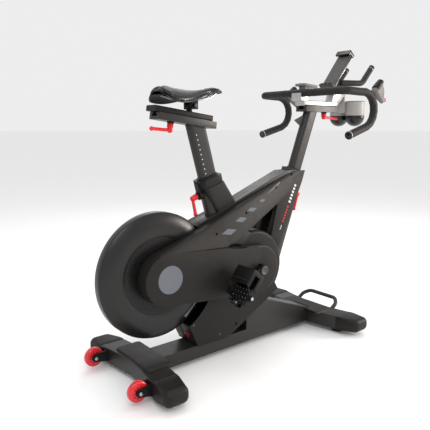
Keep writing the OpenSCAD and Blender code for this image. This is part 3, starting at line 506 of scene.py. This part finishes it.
# Places round a vent's square cell, in half cells outwards and onwards
CELL_RIM = [(1, 0), (1, 1), (0, 1), (-1, 1), (-1, 0), (-1, -1), (0, -1), (1, -1)]

HOUSING_BORE = 0.033
HOUSING_RADIUS = 0.228
HOUSING_LIP = 0.2255
HOUSING_SPLIT = -8 * MM
HOUSING_FACE = {RIGHT: -40 * MM, LEFT: 25 * MM}
DOME_START, DOME_WIDTH = 0.170, 0.0555


def add_vents(bm, y, side):
    """A flat ring of small round blind pockets, each sunk into its own square cell; the pockets' walls and
    floors take material 1, near-black painted shade, so they read as deep holes.
    """
    half_row = (VENT_ROWS[1] - VENT_ROWS[0]) / 2
    count = round(2 * math.pi * (sum(VENT_ROWS) / len(VENT_ROWS)) / VENT_PITCH)
    half_turn = math.pi / count

    def corner(r, angle, depth=0.0):
        place = Vector((r * math.cos(angle), y - side * depth, r * math.sin(angle)))
        return bm.verts.new(FLYWHEEL_AT + place)

    def circle(r, mid, depth):
        points = []
        for t in [math.radians(45 * i) for i in range(8)]:
            points.append(corner(r + VENT_RADIUS * math.cos(t), mid + VENT_RADIUS * math.sin(t) / r, depth))
        return points

    for row, r in enumerate(VENT_ROWS):
        for k in range(count):
            mid = 2 * math.pi * (k + 0.5 * (row % 2)) / count
            outer = [corner(r + a * half_row, mid + b * half_turn) for a, b in CELL_RIM]
            inner = circle(r, mid, 0.0)
            floor = circle(r, mid, VENT_DEPTH)
            for i in range(8):
                j = (i + 1) % 8
                bm.faces.new([outer[i], outer[j], inner[j], inner[i]])
                bm.faces.new([inner[i], inner[j], floor[j], floor[i]]).material_index = 1
            bm.faces.new(floor).material_index = 1
    return VENT_ROWS[0] - half_row, VENT_ROWS[-1] + half_row


def flywheel_cover(side, node):
    """One half of the housing: domed rim, vent ring and flat centre."""
    rim = HOUSING_FACE[side]
    sunk = rim - side * 2 * MM
    edge = rim - side * 15 * MM
    bm = bmesh.new()
    inner, outer = add_vents(bm, sunk, side)
    centre = [(sunk, HOUSING_BORE), (sunk, 0.088), (sunk, inner)]
    step = [
        (sunk, outer),
        (sunk + side * 0.0003, outer + 0.002),
        (rim - side * 0.0003, outer + 0.008),
        (rim, outer + 0.014),
    ]
    steps = [i / 12 for i in range(1, 13)]
    dome = [(rim + (edge - rim) * t**2.2, DOME_START + DOME_WIDTH * t) for t in steps]
    lip = [(edge - side * 0.0012, 0.2272), (edge - side * 0.0032, HOUSING_RADIUS)]
    back = [(HOUSING_SPLIT, HOUSING_RADIUS), (HOUSING_SPLIT, HOUSING_LIP)]
    add_lathe(bm, FLYWHEEL_AT, ACROSS, centre, 128)
    add_lathe(bm, FLYWHEEL_AT, ACROSS, step + dome + lip + back, 128)
    bmesh.ops.remove_doubles(bm, verts=bm.verts, dist=0.00015)
    # The second material paints the vent pockets' walls and floors in near-black shade.
    o = piece(node + "_shell", bm, [LOOKS["housing"], LOOKS["dark"]], "frame")
    solid = o.modifiers.new("wall", "SOLIDIFY")
    solid.thickness = 0.0022
    solid.offset = -1
    split_sharp(o, 40)
    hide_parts(node)


# ---------- side cover details, places in the X-Z plane in millimetres ----------

HUB = (-459, 376)
# Middle and scale of each slanted badge, up the arm
BADGES = [(-173, 504, 1.0), (-108, 543, 0.84), (-48, 576, 0.72), (12, 606, 0.50)]
# Its two edges: along the arm and up, each as X and Z
BADGE_EDGES = (46, -9, 32, 16)
TRIM_LINE = [(45, 628), (122, 668), (118, 674), (42, 634)]
SCREW_WELLS = [(-340, 171), (-130, 125), (-238, 505), (-80, 566), (95, 653), (196, 700), (50, 250)]
# Corners of the painted shadow patch where the notch would be
NOTCH = [(-188, 446), (-122, 437), (-92, 440), (-158, 459)]
# Radius of the painted highlight bead round the crank
BEAD_RADIUS = 92 * MM

# Each group of dashes: name, colour, first place down the strip, count, pitch and width
STRIP_TOP, STRIP_FOOT = Vector((232, 674)), Vector((97, 428))
DASHES = [
    ("upper", "white", 22, 6, 15, 12),
    ("middle", "stripe_red", 122, 6, 13, 8),
    ("lower", "white", 210, 3, 7, 5),
]


def badges(side, name, tree):
    """A round badge over the flywheel's hub and slanted ones up the arm, each smaller than the last."""
    bm = bmesh.new()
    hub, _ = on_side(tree, HUB[0] * MM, HUB[1] * MM, side)
    disc = button_profile(0.050, 0.0017, 0.0008)
    add_lathe(bm, hub - Vector((0, side * 0.0005, 0)), (0, side, 0), disc, 96)
    for x, z, scale in BADGES:
        long_x, long_z, rise_x, rise_z = [v * scale / 2 for v in BADGE_EDGES]
        corners = []
        for i, j in ((-1, -1), (1, -1), (1, 1), (-1, 1)):
            corners.append((x + i * long_x + j * rise_x, z + i * long_z + j * rise_z))
        add_patch(bm, tree, corners, side, 0.0006)
    piece("badges_" + name, bm, LOOKS["badge"], "frame", smooth=False)


def trim_line(side, name, tree):
    bm = bmesh.new()
    add_patch(bm, tree, TRIM_LINE, side, 0.0006, 8)
    piece("trim_line_" + name, bm, LOOKS["trim"], "frame", smooth=False)


def screw_wells(side, name, tree):
    """Rings with a sunk middle where screws hold the cover, in near-black as painted shade for the screw
    recesses.
    """
    profile = [(0, 0.0055), (0.0009, 0.0055), (0.0012, 0.0048), (0.0006, 0.0040), (0.0006, 0)]
    bm = bmesh.new()
    for x, z in SCREW_WELLS:
        hit, normal = on_side(tree, x * MM, z * MM, side)
        if hit is not None:
            add_lathe(bm, hit - normal * 0.0004, normal, profile, 24)
    piece("screw_wells_" + name, bm, LOOKS["dark"], "frame")


def notch_shadow(side, name, tree):
    """A flat patch of painted shadow where the arm's cover meets the drive bulge, standing for a notch that
    the shape lacks.
    """
    bm = bmesh.new()
    add_patch(bm, tree, NOTCH, side, 0.0005, 10)
    piece("notch_shadow_" + name, bm, LOOKS["dark"], "frame", smooth=False)


def crank_edge_highlight(side, name, tree):
    """A thin lighter grey bead on the cover, nearly half way round the crank: a painted highlight standing
    for the lit edge of the raised ground round the crank.
    """
    x, _, z = joint_place("crank_spin")
    arc = []
    for i in range(61):
        t = math.radians(100 - 165 * i / 60)
        hit, _ = on_side(tree, x + BEAD_RADIUS * math.cos(t), z + BEAD_RADIUS * math.sin(t), side)
        arc.append(hit)
    bm = bmesh.new()
    add_tube(bm, arc, 0.0011, 8)
    piece("crank_edge_highlight_" + name, bm, LOOKS["trim"], "frame")


def cover_details(side, name):
    tree = surface_tree("cover_" + name, "shell_" + name, "frame_arm")
    badges(side, name, tree)
    trim_line(side, name, tree)
    screw_wells(side, name, tree)
    notch_shadow(side, name, tree)
    crank_edge_highlight(side, name, tree)


def head_stripes(side, name):
    """Plain dashes down the cover's front strip."""
    tree = surface_tree("cover_" + name, "head_tube")
    down = (STRIP_FOOT - STRIP_TOP).normalized()
    across = Vector((-down.y, down.x))
    for group, colour, first, count, pitch, width in DASHES:
        half = across * (width / 2)
        bm = bmesh.new()
        for i in range(count):
            a = STRIP_TOP + down * (first + pitch * i)
            b = a + down * (pitch * 0.62)
            corners = [tuple(a + half), tuple(b + half), tuple(b - half), tuple(a - half)]
            add_patch(bm, tree, corners, side, 0.0005, 3)
        piece("dashes_%s_%s" % (group, name), bm, LOOKS[colour], "frame", smooth=False)


def inlet_ring():
    """Red ring round the power inlet, low at the rear."""
    ring = [(0, 0.0086), (0, 0.0113), (0.0022, 0.0113), (0.0026, 0.0108), (0.0026, 0.0090), (0.0022, 0.0086)]
    at, axis = (-0.3345, -0.014, 0.118), (-0.908, 0, -0.4191)
    turned_piece("inlet_ring", at, axis, ring, 40, "red", "frame")


# ---------- saddle: u runs from its back to its nose, s from -1 to 1 across ----------

SADDLE_BACK, SADDLE_LENGTH = -0.440, 0.277
SADDLE_ROWS, SADDLE_COLS = 60, 32
CUSHION_INSET = 0.0022
CUSHION_VOXEL = 0.0035
CUSHION_PRESSURE = 4.0
CUSHION_CAP = 0.003
SEAM_FROM, SEAM_LENGTH, SEAM_STEPS = 0.06, 0.84, 70


def swell(u, start, length):
    """Rises from 0 to 1 and falls back over a stretch of the saddle."""
    return math.sin(math.radians(180 * min(1, max(0, (u - start) / length))))


def saddle_half(u):
    """Half the saddle's width in metres."""
    return (17 + 60 * math.cos(math.radians(90 * min(1, abs(u - 0.12) / 0.7))) ** 1.4) * MM


def saddle_top(u):
    """Height of the saddle's middle line in metres."""
    return (1037 - 13 * swell(u, 0.08, 0.8) + 3 * u) * MM


def saddle_end(u):
    """How much of the full width is left near the rounded back and nose."""
    return math.sqrt(1 - (0.9 * max(0, (0.08 - u) / 0.08, (u - 0.93) / 0.07)) ** 2)


def saddle_point(u, s, lift):
    """A point of the saddle's upper skin, moved inwards by lift in metres."""
    end = saddle_end(u)
    half = (saddle_half(u) - lift) * end
    y = half * math.sin(s * math.radians(90))
    droop = 0.0374 * (y / 0.076) ** 2
    side_drop = 0.010 * abs(s) ** 6
    groove = 0.005 * math.exp(-((y / 0.008) ** 2)) * swell(u, 0.02, 0.75)
    split = 0.007 * math.exp(-((y / 0.013) ** 2)) * max(0, (0.2 - u) / 0.2)
    end_drop = 0.010 * (1 - end)
    z = saddle_top(u) - lift - droop - side_drop - groove - split - end_drop
    return Vector((SADDLE_BACK + SADDLE_LENGTH * u, y, z))


def build_saddle():
    """The cushion: one closed form, swelled as a filled cover, with its seams."""
    across = [-1 + 2 * j / SADDLE_COLS for j in range(SADDLE_COLS + 1)]
    thick = Vector((0, 0, 0.0132))
    bm = bmesh.new()
    top, low = [], []
    for i in range(SADDLE_ROWS + 1):
        u = 0.004 + 0.992 * i / SADDLE_ROWS
        top.append([bm.verts.new(saddle_point(u, s, CUSHION_INSET)) for s in across])
        low.append([bm.verts.new(saddle_point(u, s, CUSHION_INSET + 0.002) - thick) for s in across])
    for i in range(SADDLE_ROWS):
        for j in range(SADDLE_COLS):
            bm.faces.new([top[i][j], top[i + 1][j], top[i + 1][j + 1], top[i][j + 1]])
            bm.faces.new([low[i][j], low[i][j + 1], low[i + 1][j + 1], low[i + 1][j]])
        for j in (0, SADDLE_COLS):
            bm.faces.new([top[i][j], low[i][j], low[i + 1][j], top[i + 1][j]])
    for i in (0, SADDLE_ROWS):
        for j in range(SADDLE_COLS):
            bm.faces.new([top[i][j], top[i][j + 1], low[i][j + 1], low[i][j]])
    pad = piece("saddle_cushion", bm, LOOKS["saddle"], "saddle")
    puff(pad, CUSHION_VOXEL, CUSHION_PRESSURE, CUSHION_CAP)
    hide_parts("saddle_pad")
    saddle_seams(pad)


def puff(o, voxel, pressure, cap):
    """Remeshes a closed form and swells it as a filled cover, each point moving by no more than cap."""
    remesh = o.modifiers.new("remesh", "REMESH")
    remesh.mode = "VOXEL"
    remesh.voxel_size = voxel
    apply_modifiers(o)
    start = [v.co.copy() for v in o.data.vertices]
    cloth = o.modifiers.new("cloth", "CLOTH")
    cloth.settings.use_pressure = True
    cloth.settings.uniform_pressure_force = pressure
    cloth.settings.effector_weights.gravity = 0
    for f in range(1, 21):
        scene.frame_set(f)
    apply_modifiers(o)
    scene.frame_set(1)
    for v, rest in zip(o.data.vertices, start):
        move = v.co - rest
        if move.length > cap:
            v.co = rest + move * (cap / move.length)
    relax = o.modifiers.new("relax", "SMOOTH")
    relax.factor = 0.5
    relax.iterations = 5
    subdivide = o.modifiers.new("subdivide", "SUBSURF")
    subdivide.levels = subdivide.render_levels = 1
    apply_modifiers(o)
    o.data.shade_smooth()


def apply_modifiers(o):
    bpy.context.view_layer.update()
    dg = bpy.context.evaluated_depsgraph_get()
    made = bpy.data.meshes.new_from_object(o.evaluated_get(dg))
    o.modifiers.clear()
    o.data = made


def saddle_hem():
    """The hem's path, once round the cushion's lower rim."""
    path = []
    for side, run, end in ((RIGHT, range(2, 99, 2), 0.996), (LEFT, range(98, 1, -2), 0.004)):
        path += [saddle_point(i / 100, side * 0.96, 0) for i in run]
        path += [saddle_point(end, side * (0.9 - 0.2 * k), 0) for k in range(10)]
    return [p - Vector((0, 0, 0.0085)) for p in path]


def saddle_seams(pad):
    """Welts along the flanks and the nose patch, stitches and the hem, laid on the finished cushion."""
    verts = [v.co.copy() for v in pad.data.vertices]
    tree = BVHTree.FromPolygons(verts, [list(p.vertices) for p in pad.data.polygons])

    def lay(u, s, proud):
        hit, normal, _, _ = tree.find_nearest(saddle_point(u, s, -0.002))
        return hit + normal * proud

    along = [SEAM_FROM + SEAM_LENGTH * i / SEAM_STEPS for i in range(SEAM_STEPS + 1)]
    welt = bmesh.new()
    thread = bmesh.new()
    for side in (RIGHT, LEFT):
        add_tube(welt, [lay(u, side * 0.60, 0.0002) for u in along], 0.0008, 8)
        for u in along[:-1]:
            a, b = lay(u, side * 0.66, 0.0001), lay(u + 0.0065, side * 0.66, 0.0001)
            add_tube(thread, [a, (a + b) / 2, b], 0.0004, 6)
    for start in (0.72, 0.86):
        arch = [lay(start + 0.05 * (1 - abs(k / 12)), k / 12 * 0.60, 0.0002) for k in range(-12, 13)]
        add_tube(welt, arch, 0.0007, 8)
    add_tube(welt, saddle_hem(), 0.0027, 10)
    piece("saddle_welts", welt, LOOKS["saddle"], "saddle")
    piece("saddle_stitches", thread, LOOKS["stitch"], "saddle")


# ---------- handlebar ----------

# Places on the left side, those of the grips as X and Z
DROP_END = (0.295, 0.246, 0.862)
DROP_FROM = (0.4186, 0.240, 0.8963)
HOOD_Y = 0.240
GRIP_FOOT, GRIP_TIP = (0.612, 1.092), (0.6824, 1.168)
GRIP_Y = 0.070
CUP_X, CUP_Y = 0.604, 0.045
CUP_RADIUS = 0.0427


def bar_ends():
    """A bright ring and a plug at each drop end, and bands round the wrapped middle."""
    plug = [(0, 0.012), (0.0005, 0.0158), (0.003, 0.0164)]
    plug += [(0.0055, 0.0150), (0.0062, 0.011), (0.0045, 0.0095), (0.0045, 0)]
    for side, name in SIDES:
        end = mirrored(DROP_END, side)
        out = (end - mirrored(DROP_FROM, side)).normalized()
        ring = ring_profile(0.0163, 0.0172, 0.0035)
        turned_piece("bar_ring_" + name, end - out * 0.006, out, ring, 48, "steel", "bars")
        turned_piece("bar_plug_" + name, end - out * 0.0015, out, plug, 48, "gloss_black", "bars")
        bm = bmesh.new()
        for y in (0.050, 0.085):
            band = ring_profile(0.0158, 0.0166, 0.0016)
            add_lathe(bm, mirrored((0.276, y, 1.038), side), (0, side, 0), band, 48)
        piece("wrap_bands_" + name, bm, LOOKS["black"], "bars")


def hood_details():
    """Black grip horn on top of each hood and the pale collar round its button."""
    collar = [(0, 0.0046), (0, 0.0085), (0.004, 0.0085), (0.005, 0.0075), (0.005, 0.0046)]
    for side, name in SIDES:
        y = side * HOOD_Y
        bm = bmesh.new()
        horn = smooth_path([(0.470, y, 1.050), (0.488, y, 1.068), (0.502, y, 1.080)], 8)
        add_tube(bm, horn, lambda t: 0.0165 - 0.0035 * t, 24)
        add_lathe(bm, (0.502, y, 1.080), (0.6, 0, 0.8), button_profile(0.0135, 0.006, 0.004), 24)
        piece("hood_horn_" + name, bm, LOOKS["black"], "bars")
        at = (0.5215, y, 1.008)
        turned_piece("button_collar_" + name, at, (1, 0, 0), collar, 32, "white", "bars")


def grip_details():
    """A bright ring and a cap at the end of each forward grip, red on the right."""
    tip = (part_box("grip_bars")[1].x - 0.0096, GRIP_Y, GRIP_TIP[1])
    out = Vector((GRIP_TIP[0] - GRIP_FOOT[0], 0, GRIP_TIP[1] - GRIP_FOOT[1])).normalized()
    ring = ring_profile(0.0125, 0.0137, 0.002)
    cap = [(0, 0.0124), (0.0018, 0.0128), (0.0022, 0.0115), (0.0022, 0)]
    for side, name in SIDES:
        at = mirrored(tip, side)
        turned_piece("grip_ring_" + name, at - out * 0.016, out, ring, 40, "steel", "bars")
        colour = "red" if side == RIGHT else "gloss_black"
        turned_piece("grip_cap_" + name, at - out * 0.002, out, cap, 40, colour, "bars")


def console_details():
    """Dark window and round button on the console's top."""
    slope = math.radians(-4)
    up = Vector((math.sin(-slope), 0, math.cos(slope)))
    ahead = Vector((math.cos(slope), 0, math.sin(slope)))
    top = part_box("console")[1].z
    at = Vector((0.316, 0, top - 0.0035))
    bm = bmesh.new()
    add_box(bm, at + up * 0.0006, (0.066, 0.046, 0.0022), (ahead, ACROSS, up), 0.001)
    piece("console_window", bm, LOOKS["gloss_black"], "bars")
    button = button_profile(0.0045, 0.0016, 0.0006)
    button_at = at - ahead * 0.0385 + up * 0.0004
    turned_piece("console_button", button_at, up, button, 24, "dark", "bars")


def cup_details():
    """Black bottoms of the bottle cups and grey pads at their rims."""
    turn = [math.radians(a) for a in range(-90, 1, 10)]
    base = [(0.942 + CUP_RADIUS * math.sin(t), CUP_RADIUS * math.cos(t)) for t in turn]
    base += [(0.948, CUP_RADIUS), (0.948, 0.0418)]
    rim = [(1.0105, 0.0385), (1.0125, 0.0388), (1.0132, 0.0405), (1.0125, 0.0422), (1.0095, 0.0424)]
    for side, name in SIDES:
        at = mirrored((CUP_X, CUP_Y, 0), side)
        turned_piece("cup_base_" + name, at, (0, 0, 1), base, 72, "gloss_black", "bars")
        turned_piece("cup_rim_" + name, at, (0, 0, 1), rim, 72, "mid_grey", "bars")


# ---------- tablet holder, on its own leaning axes ----------

TABLET_LEAN = math.radians(39)
TABLET_ALONG = Vector((math.sin(TABLET_LEAN), 0, math.cos(TABLET_LEAN)))
TABLET_BACK = Vector((math.cos(TABLET_LEAN), 0, -math.sin(TABLET_LEAN)))
TABLET_AXES = (TABLET_BACK, ACROSS, TABLET_ALONG)
TABLET_BASE = Vector((0.455, 0, 1.074))


def rest_ribs():
    bm = bmesh.new()
    for i in range(26):
        at = TABLET_BASE + TABLET_ALONG * (0.018 + 0.0062 * i) - TABLET_BACK * 0.0004
        add_box(bm, at, (0.0016, 0.060, 0.0028), TABLET_AXES, 0.0005)
    piece("rest_ribs", bm, LOOKS["mid_grey"], "bars", smooth=False)


def clamp_strip():
    """Red strip on the spring clamp's head."""
    bm = bmesh.new()
    at = TABLET_BASE + TABLET_ALONG * 0.1968 + TABLET_BACK * 0.004
    add_box(bm, at, (0.020, 0.062, 0.0020), TABLET_AXES, 0.0006)
    piece("clamp_strip", bm, LOOKS["red"], "tablet_clamp")


def clamp_rod_sleeves():
    """Bright sleeves over the spring clamp's two rods."""
    bm = bmesh.new()
    for y in (-0.029, 0.029):
        foot = TABLET_BASE + TABLET_BACK * 0.014 + Vector((0, y, 0))
        add_tube(bm, [foot + TABLET_ALONG * 0.0125, foot + TABLET_ALONG * 0.184], 0.0036, 20)
    piece("clamp_rod_sleeves", bm, LOOKS["steel"], "tablet_clamp")


def ledge_pads():
    """Rubber pads on the ledge that a tablet stands on."""
    bm = bmesh.new()
    for y in (-0.022, 0, 0.022):
        at = TABLET_BASE + TABLET_BACK * -0.0165 + TABLET_ALONG * 0.003 + Vector((0, y, 0))
        add_box(bm, at, (0.002, 0.012, 0.009), TABLET_AXES, 0.0008)
    piece("ledge_pads", bm, LOOKS["rubber"], "bars")


# ---------- seat post, levers, wheels, cranks ----------

POST_LEAN = math.radians(16)
MARKS_FROM = Vector((-0.225, 0, 0.712))
NUT_Y, NUT_Z = 0.0295, 0.9706
PEDAL_TILT = math.radians(50)
PEDAL_Y = 0.172
STRAP_Y = 0.0472


def post_marks():
    """Small pale height marks up both sides of the post."""
    up = Vector((-math.sin(POST_LEAN), 0, math.cos(POST_LEAN)))
    across = Vector((math.cos(POST_LEAN), 0, math.sin(POST_LEAN)))
    for side, name in SIDES:
        bm = bmesh.new()
        for i in range(9):
            at = MARKS_FROM + up * (0.018 + 0.0185 * i) - across * 0.0165 + Vector((0, side * 0.01898, 0))
            add_box(bm, at, (0.0045, 0.00012, 0.0032), (across, ACROSS, up), 0.00003)
        piece("height_marks_" + name, bm, LOOKS["white"], "seat_post", smooth=False)


def lever_details():
    """A black collar with red grip ribs at each clamp lever's hub."""
    collar = [(0, 0.0075), (0, 0.0125), (0.004, 0.0125), (0.005, 0.0115), (0.005, 0.0075)]
    for joint in frame["joints"]:
        if not joint["name"].startswith("lever_"):
            continue
        body = joint["child"]
        axis = Vector(joint["axis"]).normalized()
        low = Vector(joint["pos_m"]) - axis * 0.0008
        _, u, v = frame_along(axis)
        bm = bmesh.new()
        add_lathe(bm, low, axis, collar, 32)
        for k in range(12):
            t = 2 * math.pi * k / 12
            rib = low + 0.0101 * (math.cos(t) * u + math.sin(t) * v) + axis * 0.010
            add_tube(bm, [rib - axis * 0.005, rib + axis * 0.009], 0.0011, 8, 1)
        piece(body + "_collar", bm, [LOOKS["black"], LOOKS["red"]], body)


def wheel_details():
    """Black hubs in the transport wheels, with flat near-black discs as painted shade for their holes, and
    the heads of their bolts.
    """
    hub = [(0, 0.0044), (0.0006, 0.0044), (0.0012, 0.0125), (0.0006, 0.0140), (-0.001, 0.0140)]
    for _, name in SIDES:
        wheel = "wheel_" + name
        at = Vector(joint_place(wheel + "_spin"))
        bm = bmesh.new()
        for face in (-1, 1):
            add_lathe(bm, at + Vector((0, face * 0.012, 0)), (0, face, 0), hub, 40)
            for k in range(10):
                t = 2 * math.pi * k / 10
                hole = at + Vector((0.0195 * math.cos(t), face * 0.0119, 0.0195 * math.sin(t)))
                # Each hole is only a thin near-black disc: painted shade.
                add_lathe(bm, hole, (0, face, 0), [(0, 0.0024), (0.0003, 0.0021), (0.0003, 0)], 16, 1)
        piece("wheel_hub_" + name, bm, [LOOKS["black"], LOOKS["dark"]], wheel)
        bm = bmesh.new()
        for face in (-1, 1):
            head = at + Vector((0, face * 0.0222, 0))
            add_lathe(bm, head, (0, face, 0), button_profile(0.0065, 0.0030, 0.0014), 32)
        piece("wheel_bolt_heads_" + name, bm, LOOKS["steel"], "frame")


def crank_details():
    """Caps on the cranks' outer faces and on the pedals' ends."""
    x, _, z = joint_place("crank_spin")
    cap = [(-0.001, 0.0185), (0.0014, 0.0185), (0.0024, 0.0172)]
    cap += [(0.0018, 0.0130), (0.0006, 0.0110), (0.0006, 0)]
    for side, name in SIDES:
        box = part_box("crank_" + name)
        outer = box[0].y if side == RIGHT else box[1].y
        at = (x, outer, z)
        turned_piece("crank_cap_" + name, at, (0, side, 0), cap, 48, "dark_steel", "crank")
        axle = Vector(joint_place("pedal_%s_spin" % name))
        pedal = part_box("pedal_" + name)
        outside = pedal[0].y if side == RIGHT else pedal[1].y
        end_cap = button_profile(0.0062, 0.0035, 0.0016)
        at = (axle.x, outside, axle.z)
        body = "pedal_" + name
        turned_piece("pedal_cap_" + name, at, (0, side, 0), end_cap, 32, "steel", body)
        pedal_details(axle, side, name)


def pedal_details(axle, side, name):
    """Steel grip pins and cleat hooks, and the toe strap, on the pedal's own tilted axes."""
    ahead = Vector((math.cos(PEDAL_TILT), 0, math.sin(PEDAL_TILT)))
    up = Vector((-math.sin(PEDAL_TILT), 0, math.cos(PEDAL_TILT)))
    middle = side * PEDAL_Y

    def place(forward, y, high):
        return axle + ahead * forward + up * high + Vector((0, y, 0))

    bm = bmesh.new()
    for forward in (-0.024, -0.008, 0.008, 0.024):
        for y in (-0.034, -0.017, 0, 0.017, 0.034):
            for face in (-1, 1):
                pin = button_profile(0.0019, 0.0022, 0.0006)
                add_lathe(bm, place(forward, middle + y, face * 0.0098), up * face, pin, 12)
    for face in (-1, 1):
        add_box(bm, place(-0.036, middle, face * 0.0165), (0.010, 0.022, 0.0026), (ahead, ACROSS, up), 0.001)
    piece("pedal_pins_" + name, bm, LOOKS["steel"], "pedal_" + name)
    bm = bmesh.new()
    for edge in (-1, 1):
        y = middle + edge * STRAP_Y
        rise = [place(-0.010, y, -0.004), place(0.010, y, 0.018)]
        rise += [place(0.030, y - edge * 0.002, 0.040), place(0.045, y - edge * 0.010, 0.0505)]
        add_tube(bm, smooth_path(rise, 8), 0.0026, 10)
    over = [(middle - 0.0372, 0.0505), (middle, 0.0535), (middle + 0.0372, 0.0505)]
    add_tube(bm, smooth_path([place(0.045, y, high) for y, high in over], 10), 0.0028, 10)
    piece("pedal_strap_" + name, bm, LOOKS["rubber"], "pedal_" + name)


def saddle_clamp_nuts():
    """Hexagonal nuts at both ends of the saddle clamp's bolt."""
    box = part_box("saddle_clamp")
    mid = (box[0] + box[1]) / 2
    bm = bmesh.new()
    for face in (-1, 1):
        at = Vector((mid.x - 0.002, face * NUT_Y, NUT_Z))
        add_lathe(bm, at, (0, face, 0), button_profile(0.0095, 0.005, 0.002), 6)
    piece("saddle_clamp_nuts", bm, LOOKS["dark_steel"], "saddle", smooth=False)


add_camera()
add_studio()
dress_frame()
flywheel_cover(RIGHT, "flywheel_cover_right")
flywheel_cover(LEFT, "flywheel_cover_left")
for cover_side, cover_name in SIDES:
    cover_details(cover_side, cover_name)
    head_stripes(cover_side, cover_name)
inlet_ring()
build_saddle()
bar_ends()
hood_details()
rest_ribs()
clamp_strip()
clamp_rod_sleeves()
ledge_pads()
grip_details()
console_details()
cup_details()
post_marks()
lever_details()
wheel_details()
crank_details()
saddle_clamp_nuts()
